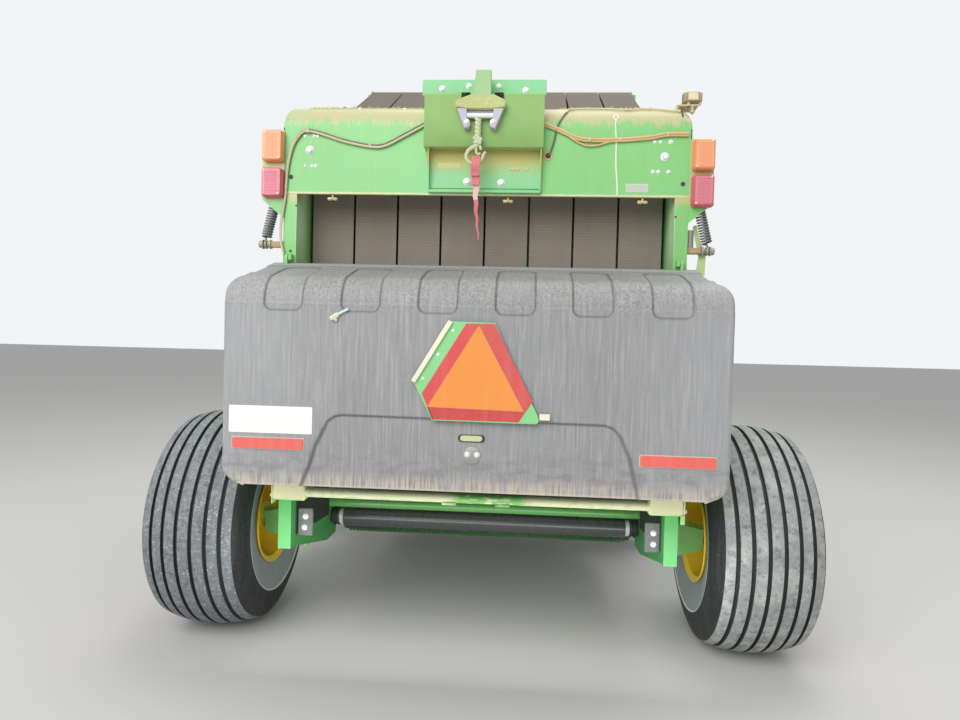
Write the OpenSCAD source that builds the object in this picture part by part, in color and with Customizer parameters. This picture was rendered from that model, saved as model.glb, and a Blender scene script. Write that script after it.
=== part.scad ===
// Round baler with a variable chamber, towed and parked on its jack.
// X is across the machine, Y is the driving direction and Z is up, in millimetres.
// Heights are above the ground, and lengths along Y are from the wheel axle.

/* [Wheels] */
// Radius of the road tyre
tyre_r = 506; // [480:1:530]
// Width of the road tyre over its side walls
tyre_w = 458; // [440:1:500]
// Radius of the rim flange
rim_r = 222; // [200:1:240]
// Distance from the centre line to the middle of a road wheel
wheel_x = 1205; // [1195:1:1230]
// Radius of the wheel spindle
spindle_r = 35; // [28:1:42]
// Radius of the gauge wheel of the pickup
gauge_r = 190; // [170:1:200]

/* [Side sheets] */
// Distance from the centre line to the inner face of the side sheets
side_x = 785; // [775:1:790]
// Thickness of the side sheets
sheet_t = 6; // [4:0.5:8]
// Gap between the sheets of the gate and of the main frame
split_gap = 12; // [10:1:16]

/* [Gate] */
// Rear face of the gate columns
col_y = -389; // [-395:1:-380]
// Width of a gate column
col_w = 55; // [45:1:60]
// Depth of a gate column
col_d = 60; // [50:1:70]
// Lower end of the gate columns
col_z = 465; // [450:1:480]
// Lower edge of the hood
hood_z = 1976; // [1960:1:1990]
// Top face of the hood
hood_top = 2362; // [2350:1:2370]
// Place of the gate pivot along the machine
pivot_y = 960; // [955:1:965]
// Height of the gate pivot
pivot_z = 2840; // [2835:1:2845]
// Radius of the gate pivot pin
pivot_r = 30; // [24:1:34]

/* [Belts] */
// Number of belts
belt_n = 8; // [6:1:8]
// Distance from one belt to the next
belt_pitch = 194; // [190:1:194]
// Width of one belt
belt_w = 184; // [170:1:186]
// Thickness of the belts
belt_t = 7; // [5:1:9]
// Rear face of the belts behind the hood
belt_y = -207; // [-212:1:-200]
// Radius of the belt rollers
roller_r = 50; // [45:1:55]

/* [Net cover] */
// Rear face of the net cover
cover_y = -721; // [-730:1:-710]
// Half the width of the net cover
cover_half = 945; // [935:1:948]
// Lower edge of the net cover
cover_z = 812; // [800:1:820]
// Height of the front lip of the net cover
cover_lip_z = 1684; // [1675:1:1690]
// Thickness of the cover shell
cover_t = 9; // [6:1:12]

/* [Hitch] */
// Front end of the hitch clevis
hitch_y = 3700; // [3600:10:3750]
// Height of the hitch
hitch_z = 470; // [440:1:500]
// Radius of the hole for the hitch pin
hitch_pin_r = 16.5; // [13:0.5:20]

/* [Pickup] */
// Half the length of the tined reel
reel_half = 960; // [900:1:980]
// Radius of the reel over its tine tips
reel_r = 290; // [270:1:295]
// Height of the reel axis
reel_z = 420; // [400:1:440]
// Place of the reel axis along the machine
reel_y = 1560; // [1550:1:1570]

/* [Side doors] */
// Outer face of the side doors
door_x = 1000; // [970:1:1010]
// Lower edge of the side doors
door_z = 1090; // [1080:1:1120]

/* [Hidden] */
$fn = 48;

// running clearance of a pin in its bore, and the gap between pieces of one joint
pin_gap = 0.05;
face_gap = 1;
seat_gap = 0.3;
eps = 0.01;

// outermost ends along Y, which set the origin in the middle of the length
sign_gap = 14;
sign_t = 3;
rear_end = cover_y - sign_gap - sign_t;
mid_y = (hitch_y + rear_end) / 2;

// layers of the side structure, out from the sheet
outer_x = side_x + sheet_t;
ear_x = outer_x + 6;
ear_t = 14;
ear_out = ear_x + ear_t;

// gate outline
boss_r = 62;
gate_low_y = 300;
gate_low_z = 345;
gate_front = [[405, 520], [640, 2400]];

// belt runs
belts_half = (belt_n - 1) * belt_pitch / 2;
gate_top = [belt_y + belt_t + roller_r, 2212];
gate_low = [belt_y + belt_t + roller_r, 800];
crest_r = 58;

// gate cylinder pins at rest
cyl_base = [880, 1500];
cyl_eye = [0, 2300];
cyl_x = 866;
cyl_r = 27;
cyl_rod_r = 18;
cyl_eye_r = 36;
cyl_eye_w = 56;
cyl_pin_r = 15;
cyl_len = norm(cyl_eye - cyl_base);
cyl_angle = atan2(cyl_eye[1] - cyl_base[1], cyl_eye[0] - cyl_base[0]);
barrel_len = 1030;

// hinges
cover_hinge = [col_y - 21, cover_lip_z + 22];
cover_pin_r = 9;
cover_ear_t = 12;
cover_top_round = 55;
cover_low_round = 75;
cover_ear_x = min(side_x + 29, cover_half - cover_top_round - 9);
door_hinge_x = 874;
door_hinge_z = 2428;
door_hinge_ys = [960, 1620];
door_pin_r = 8;
pickup_pin = [1080, 640];
guard_pin = [reel_y + 20, reel_z + 320];
arm_x = 1010;

green = "forestgreen";
dark = "#26282a";
steel = "#8d9092";
yellow = "goldenrod";

// puts a piece in the part's own frame, with the origin in the middle of the length
module placed() {
    translate([0, -mid_y, 0]) children();
}

// mirrors a right-hand piece to the left
module side(s) {
    mirror([s < 0 ? 1 : 0, 0, 0]) children();
}

// the two ends of a belt's outer face, on the rollers at a and b with their radii
function belt_run(a, b, ra, rb) =
    let (d = (b - a) / norm(b - a), n = [-d[1], d[0]])
    [a + n * (ra + belt_t), b + n * (rb + belt_t)];

// plate in a plane across X, from a [Y, Z] outline
module plate(points, x, t) {
    translate([x, 0, 0]) rotate([90, 0, 90]) linear_extrude(t) polygon(points);
}

// round bar along X at a [Y, Z] place
module bar(at, r, x0, x1) {
    translate([x0, at[0], at[1]]) rotate([0, 90, 0]) cylinder(r = r, h = x1 - x0);
}

// tube along X at a [Y, Z] place
module ring(at, r, bore, x0, x1) {
    difference() {
        bar(at, r, x0, x1);
        bar(at, bore, x0 - 1, x1 + 1);
    }
}

// block from its lowest to its highest corner
module block(a, b) {
    translate(a) cube(b - a);
}

// block in a [Y, Z] plane that runs from one point to another, with its upper face on the line
module slab(a, b, t, x, w) {
    d = b - a;
    translate([x - w / 2, a[0], a[1]]) rotate([atan2(d[1], d[0]), 0, 0]) translate([0, 0, -t]) cube([w, norm(d), t]);
}

// Main frame

frame_outline = [
    [417, 400], [1050, 400], [1110, 560], [1150, 700], [1400, 860], [1936, 960], [1936, 2300], [1560, 2640],
    [1120, 2770], [1024, 2765], [gate_front[1][0] + split_gap, gate_front[1][1] - 8],
    [gate_front[0][0] + split_gap, gate_front[0][1]]
];
ear_outline = [
    [pivot_y - 40, pivot_z - 40], [pivot_y - 40, pivot_z + 30], [pivot_y - 15, pivot_z + 42],
    [pivot_y + 15, pivot_z + 42], [1560, 2640], [1480, 2400], [1150, 2560]
];
axle_arm = [[-130, 400], [-130, 590], [-60, 620], [430, 700], [1000, 700], [1050, 400]];

module frame_side(s) {
    side(s) color(green) {
        plate(frame_outline, side_x, sheet_t);
        intersection() {
            plate(ear_outline, outer_x, ear_x - outer_x + eps);
            plate(frame_outline, outer_x, ear_x);
        }
        plate(ear_outline, ear_x, ear_t);
        intersection() {
            plate(axle_arm, outer_x, ear_x - outer_x + eps);
            plate(frame_outline, outer_x, ear_x);
        }
        plate(axle_arm, ear_x, ear_t);
        block([outer_x, 1856, 960], [outer_x + 40, 1936, 2300]);
        block([outer_x, 900, 2392], [outer_x + 40, 1700, 2440]);
        bar([pivot_y, pivot_z], pivot_r, side_x - 8, ear_x + eps);
        bar(cyl_base, cyl_eye_r, outer_x, cyl_x - cyl_eye_w / 2 - face_gap);
        bar(cyl_base, cyl_pin_r, outer_x, cyl_x + cyl_eye_w / 2 + 8);
        bar(pickup_pin, 15, outer_x, ear_out + 14);
        for (y = door_hinge_ys) {
            block([outer_x, y, door_hinge_z - 30], [door_hinge_x, y + 20, door_hinge_z - 9]);
            block([door_hinge_x - 10, y, door_hinge_z - 30], [door_hinge_x + 10, y + 20, door_hinge_z]);
            translate([door_hinge_x, y - 30, door_hinge_z]) rotate([-90, 0, 0]) cylinder(r = door_pin_r, h = 80);
        }
    }
}

beam_size = 100;
beam_front = 1900;
beam_low = 980;
panel_gap = 8;
panel_t = 6;
panel_low = beam_low + beam_size + 20;
panel_high = 2290;

module front_beam() color(green) {
    block([-side_x, beam_front - beam_size, beam_low], [side_x, beam_front, beam_low + beam_size]);
}

// the panel's top leans back over the chamber by this run and rise
panel_lean = [-250, 226];

module front_panel() color(green) {
    y = beam_front + panel_gap;
    outer = [y + panel_t, panel_high];
    plate([
        [y, panel_low], [outer[0], panel_low], outer, outer + panel_lean, outer + panel_lean - [panel_t, 0],
        [y, panel_high - panel_t]
    ], -side_x, 2 * side_x);
}

// belt rollers of the main frame: chamber top and bottom, front top and front bottom
chamber_top = [705, 2350];
chamber_low = [760, 640];
front_top = [1500, 2560];
front_low = [1780, 1180];

module chamber_rollers() color(steel) {
    bar([pivot_y, pivot_z], crest_r, -side_x + 8, side_x - 8);
    for (at = [chamber_top, chamber_low, front_top, front_low]) {
        bar(at, roller_r, -side_x + seat_gap, side_x - seat_gap);
    }
}

module belt_row(run) color(dark) {
    for (i = [0 : belt_n - 1]) {
        slab(run[0], run[1], belt_t, -belts_half + i * belt_pitch, belt_w);
    }
}

module belts_front() {
    belt_row(belt_run(chamber_low, chamber_top, roller_r, roller_r));
}

module belts_top() {
    belt_row(belt_run([pivot_y, pivot_z], front_top, crest_r, roller_r));
    belt_row(belt_run(front_top, front_low, roller_r, roller_r));
}

starter_at = [500, 400];
starter_r = 88;
starter_rib = 13;

module starter_roll() color(green) {
    bar(starter_at, starter_r, -side_x + 8, side_x - 8);
    bar(starter_at, 20, -side_x + seat_gap, side_x - seat_gap);
    for (i = [0 : 11]) {
        translate([0, starter_at[0], starter_at[1]]) rotate([i * 30, 0, 0])
            block([-side_x + 20, -5, starter_r - 3], [side_x - 20, 5, starter_r + starter_rib]);
    }
}

axle_box_z = 485;
axle_in = 70;
axle_out = 47;
hub_x = 1050;

module axle(s) {
    side(s) color(green) {
        hull() {
            block([ear_out, -axle_in, axle_box_z - axle_in], [ear_out + 110, axle_in, axle_box_z + axle_in]);
            block([ear_out, -axle_out, axle_box_z - axle_out], [hub_x - 16, axle_out, axle_box_z + axle_out]);
        }
        bar([0, tyre_r], spindle_r, hub_x - 40, wheel_x + 60);
    }
}

rail_h = 110;
rail_w = 80;

module drawbar(s) {
    side(s) color(green) {
        hull() {
            block([side_x - rail_w, 1500, 868], [side_x, 1520, 868 + rail_h]);
            block([60, hitch_y - 460, hitch_z - rail_h / 2], [60 + rail_w, hitch_y - 440, hitch_z + rail_h / 2]);
        }
    }
}

module hitch_clevis() color(green) {
    block([-60, hitch_y - 560, hitch_z - 50], [60, hitch_y - 250, hitch_z + 50]);
    difference() {
        union() {
            for (z = [hitch_z - 50, hitch_z + 25]) {
                block([-50, hitch_y - 300, z], [50, hitch_y - 50, z + 25]);
                translate([0, hitch_y - 50, z]) cylinder(r = 50, h = 25);
            }
        }
        translate([0, hitch_y - 50, 0]) cylinder(r = hitch_pin_r, h = 1000);
    }
}

jack_at = [-130, hitch_y - 350];

module jack() color(dark) {
    translate([jack_at[0], jack_at[1], 0]) {
        cylinder(r = 110, h = 12);
        cylinder(r = 26, h = 400);
        translate([0, 0, 250]) cylinder(r = 34, h = 700);
        translate([0, 0, 940]) cylinder(r = 40, h = 40);
        translate([0, 0, 960]) rotate([0, -90, 0]) cylinder(r = 10, h = 190);
        translate([-180, 0, 955]) cylinder(r = 11, h = 100);
        block([30, -40, hitch_z - 45], [-60 - jack_at[0], 40, hitch_z + 45]);
    }
}

shaft_at_z = 790;
box_half = 150;
box_rear = beam_front + 90;
box_front = beam_front + 300;
box_top = beam_low + beam_size - 20;
stub_r = 60;
stub_len = 40;
shaft_start = box_front + stub_len;
shaft_cone = 120;
shaft_outer = 640;
shaft_inner = 380;
yoke_r = 32;
yoke_bore = 17.5;
yoke_len = 80;

module gearbox() color(green) {
    block([-box_half, beam_front, beam_low + 5], [box_half, box_rear + 1, box_top]);
    block([-box_half, box_rear, shaft_at_z - 110], [box_half, box_front, box_top]);
    translate([0, box_front - 1, shaft_at_z]) rotate([-90, 0, 0]) cylinder(r = stub_r, h = stub_len + 1);
}

module driveshaft() color(dark) {
    translate([0, shaft_start, shaft_at_z]) rotate([-90, 0, 0]) {
        cylinder(r = 85, h = shaft_cone + 1);
        translate([0, 0, shaft_cone]) cylinder(r = 52, h = shaft_outer);
        translate([0, 0, shaft_cone + shaft_outer - 1]) cylinder(r = 44, h = shaft_inner);
        translate([0, 0, shaft_cone + shaft_outer + shaft_inner - 2]) cylinder(r = 80, h = shaft_cone);
        translate([0, 0, 2 * shaft_cone + shaft_outer + shaft_inner - 8]) difference() {
            cylinder(r = yoke_r, h = yoke_len + 8);
            translate([0, 0, 8]) cylinder(r = yoke_bore, h = yoke_len + 1);
        }
    }
}

module driveshaft_stand() color(green) {
    block([-20, hitch_y - 500, hitch_z + 50], [20, hitch_y - 470, shaft_at_z - 50]);
    block([-50, hitch_y - 510, shaft_at_z - 54], [50, hitch_y - 460, shaft_at_z - 44]);
}

// Gate

hood_t = 4;
hood_half = side_x + col_w + 5;
hood_front = -100;
hood_round = 110;

hood_arc = [col_y + hood_round, hood_top - hood_round];
hood_inset = 6;

gate_outline = [
    [col_y, col_z], [col_y, hood_z], [col_y + hood_inset, hood_z], [col_y + hood_inset, hood_arc[1]],
    hood_arc + (hood_round - hood_inset - 1) * [-sin(45), cos(45)], [hood_arc[0], hood_top - hood_inset - 2],
    [hood_front + 3, hood_top - hood_inset - 2], [pivot_y - 95, pivot_z - 65],
    [pivot_y - 50, pivot_z + 30], [pivot_y + 50, pivot_z - 36], gate_front[1], gate_front[0],
    [gate_low_y + 20, gate_low_z + 60], [gate_low_y, gate_low_z], [150, gate_low_z], [-330, col_z - 5]
];

module gate_side(s) {
    side(s) color(green) {
        difference() {
            union() {
                plate(gate_outline, side_x, sheet_t);
                bar([pivot_y, pivot_z], boss_r, side_x, side_x + sheet_t);
                block([side_x, col_y, col_z], [side_x + col_w, col_y + col_d, hood_z - eps]);
                block([outer_x, col_y + col_d, 1000], [outer_x + 20, col_y + col_d + 30, 1900]);
                bar(cyl_eye, cyl_eye_r, outer_x, cyl_x - cyl_eye_w / 2 - face_gap);
            }
            bar([pivot_y, pivot_z], pivot_r + pin_gap, side_x - 1, outer_x + 1);
        }
        bar(cover_hinge, cover_pin_r, min(side_x + 8, cover_ear_x - 9), max(side_x + 20, cover_ear_x + 9));
        block([side_x + 8, cover_hinge[0] - 12, cover_hinge[1] - 12], [side_x + 20, col_y + 1, cover_hinge[1] + 12]);
        bar(spring_pin, spring_pin_r, side_x + col_w - 1, spring_pin_end);
    }
}

// the hood's solid form, drawn in by t from its walls and open below and in front
module hood_form(t) {
    x = hood_half - t;
    over = t > 0 ? 1 : 0;
    block([-x, col_y + t, hood_z - over], [x, hood_front + over, hood_arc[1]]);
    block([-x, hood_arc[0], hood_arc[1] - 1], [x, hood_front + over, hood_top - t]);
    bar(hood_arc, hood_round - t, -x, x);
}

module along_x(x0, x1) {
    translate([x0, 0, 0]) rotate([90, 0, 90]) linear_extrude(x1 - x0) children();
}

module gate_hood() color(green) {
    difference() {
        hood_form(0);
        hood_form(hood_t);
    }
}

module gate_tube() color(green) {
    bar([200, 528], 23, -side_x, side_x);
}

crossbar_low = 697;
crossbar_size = 40;
sleeve_wall = 5;
sleeve_low = 684;
sleeve_top = 753;

module gate_crossbar() color("#c9bf9a") {
    block([-857, col_y - crossbar_size, crossbar_low], [857, col_y, crossbar_low + crossbar_size]);
    for (s = [-1, 1]) {
        side(s) block([712, col_y - crossbar_size - sleeve_wall, sleeve_low],
            [851, col_y, sleeve_top]);
    }
}

gate_roller_at = [229, 450];
gate_roller_r = 46;

module gate_roller() color(dark) {
    bar(gate_roller_at, gate_roller_r, -740, 740);
    bar(gate_roller_at, 18, -side_x, side_x);
}

module gate_belt_rollers() color(steel) {
    for (at = [gate_top, gate_low]) {
        bar(at, roller_r, -side_x, side_x);
    }
}

module gate_belts_rear() {
    belt_row(belt_run(gate_low, gate_top, roller_r, roller_r));
    belt_row(belt_run(gate_top, gate_low, roller_r, roller_r));
}

// the gate's top run stops short of the crest roller, which the frame's belts wrap
crest_short = 60;
top_run = belt_run(gate_top, [pivot_y, pivot_z], roller_r, crest_r);

module gate_belts_top() {
    d = (top_run[1] - top_run[0]) / norm(top_run[1] - top_run[0]);
    belt_row([top_run[0], top_run[1] - d * crest_short]);
}

wing_in = hood_half - 6;
wing_out = 934;
wing_t = 5;
wing_tops = [2238, 2210];

module lamp_plates() color(green) {
    for (s = [-1, 1]) {
        top = wing_tops[s > 0 ? 1 : 0];
        side(s) translate([0, col_y, 0]) rotate([90, 0, 0]) linear_extrude(wing_t)
            polygon([[wing_in, 1873], [wing_in, top], [wing_out, top], [wing_out, 1950]]);
    }
}

module lamps() color("orangered") {
    for (s = [-1, 1], z = [[1948, 2076], [2092, 2222]]) {
        side(s) block([hood_half - 8, col_y - wing_t - 42, z[0]], [wing_out - 3, col_y - wing_t, z[1]]);
    }
}

// the springs of the net cover lean from a bracket on the hood out to a pin on the column
spring_pin = [-360, 1765];
spring_pin_r = 9;
spring_pin_end = 955;
spring_r = 20;
spring_low_x = 924;
spring_lean = 14;
spring_len = 150;
spring_hook = 16;

module gate_springs() color(dark) {
    for (s = [-1, 1]) {
        side(s) {
            translate([spring_low_x, spring_pin[0], spring_pin[1] + 34]) rotate([0, -spring_lean, 0]) {
                cylinder(r = spring_r, h = spring_len);
                cylinder(r = 4, h = spring_len + 28);
            }
            ring(spring_pin, spring_hook, spring_pin_r + seat_gap, spring_low_x - 4, spring_low_x + 4);
            translate([spring_low_x, spring_pin[0], spring_pin[1] + spring_hook - 2]) cylinder(r = 4, h = 30);
            block([hood_half, spring_pin[0] - 14, 1964], [spring_low_x - 24, spring_pin[0] + 14, 1974]);
        }
    }
}

hoist_face = col_y - 62;
hoist_fold = 2393;

module hoist_bracket() color(green) {
    difference() {
        block([-242, hoist_face, 2160], [245, hood_arc[0] - 40, hoist_fold]);
        hood_form(0);
    }
    block([-259, col_y - 6, hoist_fold - eps], [253, col_y, 2449]);
    block([-222, col_y - 6, 2004], [236, col_y, 2160 + eps]);
}

// middle of the rope, in front of the bracket's face
rope_at = [-19, hoist_face - 22];
rope_r = 13;
hoist_head_t = 34;
hoist_cap_z = 2299;
hoist_roller_r = 10.5;
hoist_roller_z = 2276;
rope_low = 2184;
hook_r = 30;
hook_wire = 7;
hook_z = 2122;

module hoist_head() color("#5d5b45") {
    translate([0, hoist_face, 0]) rotate([90, 0, 0]) {
        linear_extrude(hoist_head_t + 6) polygon([
            [-34, 2455], [-36, 2352], [-100, 2330], [-112, 2318], [-108, hoist_cap_z], [85, hoist_cap_z],
            [87, 2318], [80, 2330], [34, 2352], [33, 2455]
        ]);
        linear_extrude(hoist_head_t) {
            polygon([[-106, hoist_cap_z + 1], [-66, hoist_cap_z + 1], [-52, 2226], [-72, 2222]]);
            polygon([[83, hoist_cap_z + 1], [46, hoist_cap_z + 1], [33, 2226], [53, 2222]]);
        }
    }
    bar([rope_at[1], hoist_roller_z], hoist_roller_r, -64, 44);
}

module hoist_rope() color("#6f6a5e") {
    high = hoist_roller_z - hoist_roller_r - seat_gap;
    translate([rope_at[0], rope_at[1], rope_low]) cylinder(r = rope_r, h = high - rope_low);
}

module hoist_hook() color(steel) {
    translate([rope_at[0], rope_at[1], hook_z]) {
        translate([0, 0, hook_r - 3]) cylinder(r = 14, h = rope_low - hook_z - hook_r + 3);
        rotate([90, 0, 0]) rotate_extrude() translate([hook_r, 0]) circle(hook_wire, $fn = 24);
    }
}

strap_x = rope_at[0] - 5;
strap_half = 21;
strap_tail_half = 11;
strap_end = [1998, 1776];

module hoist_strap() color("crimson") {
    y = rope_at[1] - hook_wire - seat_gap;
    block([strap_x - strap_half, y - 7, strap_end[0]], [strap_x + strap_half, y, hook_z - hook_r + 20]);
    block([strap_x - strap_tail_half, y - 5, strap_end[1]], [strap_x + strap_tail_half, y - 1, strap_end[0] + eps]);
}

// a point on the way over the hood's rounded top, t degrees above the middle of the arc
cable_off = 8;
function over_hood(x, t) =
    [x, hood_arc[0] - (hood_round + cable_off) * cos(t), hood_arc[1] + (hood_round + cable_off) * sin(t)];

// cables clipped along the hood, as [X, Y, Z] points
cable_y = col_y - cable_off;
cable_left = [
    [-832, cable_y, 1722], [-833, cable_y, 1800], [-829, cable_y, 2002], [-822, cable_y, 2094],
    [-802, cable_y, 2177], [-769, cable_y, 2227], [-739, cable_y, 2238], [-688, cable_y, 2228],
    [-581, cable_y, 2195], [-474, cable_y, 2175], [-411, cable_y, 2179], [-328, cable_y, 2221], [-248, cable_y, 2264]
];
cable_right = [
    [251, cable_y, 2267], [311, cable_y, 2244], [373, cable_y, 2216], [434, cable_y, 2206], [555, cable_y, 2207],
    [675, cable_y, 2217], [746, cable_y, 2230], [828, cable_y, 2230]
];
cable_light = [
    [270, cable_y, 2138], [288, cable_y, 2200], over_hood(298, 0), over_hood(316, 20), over_hood(338, 40),
    over_hood(361, 55), over_hood(476, 60), over_hood(583, 53), over_hood(681, 59), over_hood(762, 55),
    over_hood(800, 60)
];
cable_r = 6;
cable_light_r = 4;
cable_steps = 3;
cable_sides = 8;
clip_half = 6;

// a point at t between p[i] and p[i + 1] on a smooth curve through all the points
function curve_at(p, i, t) =
    let (a = p[max(i - 1, 0)], b = p[i], c = p[i + 1], d = p[min(i + 2, len(p) - 1)])
    (2 * b + (c - a) * t + (2 * a - 5 * b + 4 * c - d) * t * t + (3 * b - a - 3 * c + d) * t * t * t) / 2;
function curve(p, n) = concat([for (i = [0 : len(p) - 2], k = [0 : n - 1]) curve_at(p, i, k / n)], [p[len(p) - 1]]);

// round tube swept along points in a plane across Y
module swept(points, r, sides) {
    n = len(points);
    ring_points = [
        for (i = [0 : n - 1])
            let (d = points[min(i + 1, n - 1)] - points[max(i - 1, 0)], u = cross(d, [0, 1, 0]) / norm(d))
            for (j = [0 : sides - 1])
                points[i] + r * (u * cos(j * 360 / sides) + [0, 1, 0] * sin(j * 360 / sides))
    ];
    walls = [
        for (i = [0 : n - 2], j = [0 : sides - 1])
            let (a = i * sides + j, b = i * sides + (j + 1) % sides)
            each [[a, b, b + sides], [a, b + sides, a + sides]]
    ];
    ends = [[for (j = [0 : sides - 1]) sides - 1 - j], [for (j = [0 : sides - 1]) (n - 1) * sides + j]];
    polyhedron(points = ring_points, faces = concat(walls, ends));
}

module hood_cables() color("tan") {
    swept(curve(cable_left, cable_steps), cable_r, cable_sides);
    swept(curve(cable_right, cable_steps), cable_r, cable_sides);
    swept(curve(cable_light, cable_steps), cable_light_r, cable_sides);
    for (p = [cable_left[6], cable_left[9], cable_right[3], cable_right[5], cable_light[0]]) {
        block([p[0] - clip_half, cable_y, p[2] - 2 * clip_half], [p[0] + clip_half, col_y, p[2] + 2 * clip_half]);
    }
    for (at = [[476, 60], [681, 59]]) {
        translate([at[0] - clip_half, hood_arc[0], hood_arc[1]]) rotate([180 - at[1], 0, 0])
            translate([0, hood_round, -clip_half]) cube([2 * clip_half, cable_off, 2 * clip_half]);
    }
}

light_base = 8;
light_post_half = 12;
light_at = [855, -325];
light_size = [78, 54, 42];

module work_light() color(dark) {
    z = hood_top + light_base;
    block([794, -340, hood_top], [880, -250, z]);
    block([light_at[0] - light_post_half, light_at[1] - light_post_half, z - eps],
        [light_at[0] + light_post_half, light_at[1] + light_post_half, z + light_base + eps]);
    translate([light_at[0], light_at[1], z + light_base + light_size[2] / 2]) cube(light_size, center = true);
}

// Net cover

cover_front = col_y - 8;
cover_round = 120;
cover_slope = 15;
cover_bend_z = 1500;
cover_shoulder_z = 1626;

module cover_profile(inset) {
    c = [cover_y + cover_round, cover_bend_z];
    r = cover_round - inset;
    y1 = cover_front + (inset > 0 ? 1 : 0);
    z0 = inset > 0 ? cover_z - 1 : cover_z;
    polygon([
        [cover_y + inset, z0], [cover_y + inset, c[1]], c, c + r * [-sin(cover_slope), cos(cover_slope)],
        [cover_front, cover_lip_z - inset], [y1, cover_lip_z - inset], [y1, z0]
    ]);
    translate(c) circle(r, $fn = 96);
}

module cover_face(inset) {
    w = cover_half - inset;
    low = cover_low_round - inset;
    top = cover_top_round - inset;
    z0 = inset > 0 ? cover_z - 2 : cover_z;
    difference() {
        translate([-w, z0]) square([2 * w, cover_lip_z - inset - z0 + 1]);
        for (s = [-1, 1]) {
            translate([s * w, cover_z + inset]) scale([s, 1]) corner(low);
            translate([s * w, cover_shoulder_z - inset]) scale([s, -1]) corner(top);
            translate([s * w, cover_shoulder_z - inset - eps]) scale([s, 1]) translate([-top, 0]) square([top + 1, 200]);
        }
    }
}

// material to take away from the corner at the origin, for a rounded corner towards -x and +y
module corner(r) {
    difference() {
        translate([-r, -1]) square([r + 1, r + 1]);
        translate([-r, r]) circle(r);
    }
}

module net_cover() color("#4b4d50") {
    difference() {
        intersection() {
            along_x(-cover_half, cover_half) cover_profile(0);
            translate([0, cover_front, 0]) rotate([90, 0, 0]) linear_extrude(400) cover_face(0);
        }
        intersection() {
            along_x(-cover_half, cover_half) cover_profile(cover_t);
            translate([0, cover_front + 2, 0]) rotate([90, 0, 0]) linear_extrude(400) cover_face(cover_t);
        }
    }
    for (s = [-1, 1]) {
        side(s) difference() {
            union() {
                bar(cover_hinge, 15, cover_ear_x - cover_ear_t / 2, cover_ear_x + cover_ear_t / 2);
                block([cover_ear_x - cover_ear_t / 2, cover_hinge[0] - 15, cover_lip_z - cover_t],
                    [cover_ear_x + cover_ear_t / 2, cover_hinge[0] + 11, cover_hinge[1]]);
            }
            bar(cover_hinge, cover_pin_r + pin_gap, cover_ear_x - cover_ear_t, cover_ear_x + cover_ear_t);
        }
    }
}

module sign_plate() color("orange") {
    translate([0, cover_y - sign_gap, 0]) rotate([90, 0, 0]) linear_extrude(sign_t)
        polygon([[-83, 1443], [82, 1440], [250, 1090], [248, 1075], [-140, 1078], [-213, 1219]]);
    for (z = [1130, 1380]) {
        translate([20, cover_y, z]) rotate([90, 0, 0]) cylinder(r = 12, h = sign_gap);
    }
}

// Wheels

tread_half = 190;
shoulder_r = 470.5;

// half of the tread's rounded crown, from its edge to the middle
crown = [[shoulder_r, tread_half], [486, 147], [499, 91], [505.3, 31]];

module tyre(s) color("#33353a") {
    translate([s * wheel_x, 0, tyre_r]) rotate([0, 90, 0]) rotate_extrude($fn = 120) polygon([
        [rim_r - 18, -190], [rim_r + 20, -202], [300, -219], [350, -tyre_w / 2], [395, -222],
        [432, -210], [459, -198], for (p = crown) [p[0], -p[1]], [tyre_r, 0],
        for (i = [3:-1:0]) crown[i], [459, 198], [432, 210], [395, 222], [350, tyre_w / 2], [300, 219],
        [rim_r + 20, 202], [rim_r - 18, 190], [rim_r - 18, 150], [rim_r + 60, 140],
        [rim_r + 60, -140], [rim_r - 18, -150]
    ]);
}

module rim(s) {
    side(s) color(yellow) translate([wheel_x, 0, tyre_r]) rotate([0, 90, 0]) difference() {
        union() {
            rotate_extrude($fn = 96) polygon([
                [rim_r - 26, -198], [rim_r, -212], [rim_r, -206], [rim_r - 18, -190], [rim_r - 18, 190],
                [rim_r, 206], [rim_r, 212], [rim_r - 26, 198], [rim_r - 26, 40], [90, 20], [90, 100],
                [70, 106], [0, 106], [0, -155], [62, -155], [62, 0], [90, 8], [rim_r - 26, 28]
            ]);
        }
        translate([0, 0, -160]) cylinder(r = spindle_r + pin_gap, h = 160 + 61);
    }
}

// Gate cylinders

module on_cylinder() {
    translate([cyl_x, cyl_base[0], cyl_base[1]]) rotate([cyl_angle, 0, 0]) rotate([-90, 0, 0]) children();
}

module eye() {
    rotate([0, 90, 0]) cylinder(r = cyl_eye_r, h = cyl_eye_w, center = true);
}

module barrel(s) {
    side(s) color(dark) on_cylinder() difference() {
        union() {
            eye();
            translate([0, 0, 30]) cylinder(r = cyl_r, h = barrel_len - 30);
        }
        rotate([0, 90, 0]) cylinder(r = cyl_pin_r + pin_gap, h = 100, center = true);
        translate([0, 0, 60]) cylinder(r = cyl_r - 6, h = barrel_len - 60 - 40);
        translate([0, 0, 60]) cylinder(r = cyl_rod_r + pin_gap, h = barrel_len);
    }
}

module rod(s) {
    side(s) color(steel) on_cylinder() {
        translate([0, 0, 130]) cylinder(r = cyl_rod_r, h = cyl_len - 150);
        translate([0, 0, 120]) cylinder(r = cyl_r - 6 - pin_gap, h = 30);
        translate([0, 0, cyl_len]) eye();
        translate([0, 0, cyl_len]) rotate([0, 90, 0]) cylinder(r = cyl_pin_r + 6, h = cyl_eye_w / 2 + 10);
    }
}

// Side doors

door_rear = 540;
door_front = 1925;
door_t = 14;

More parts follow.
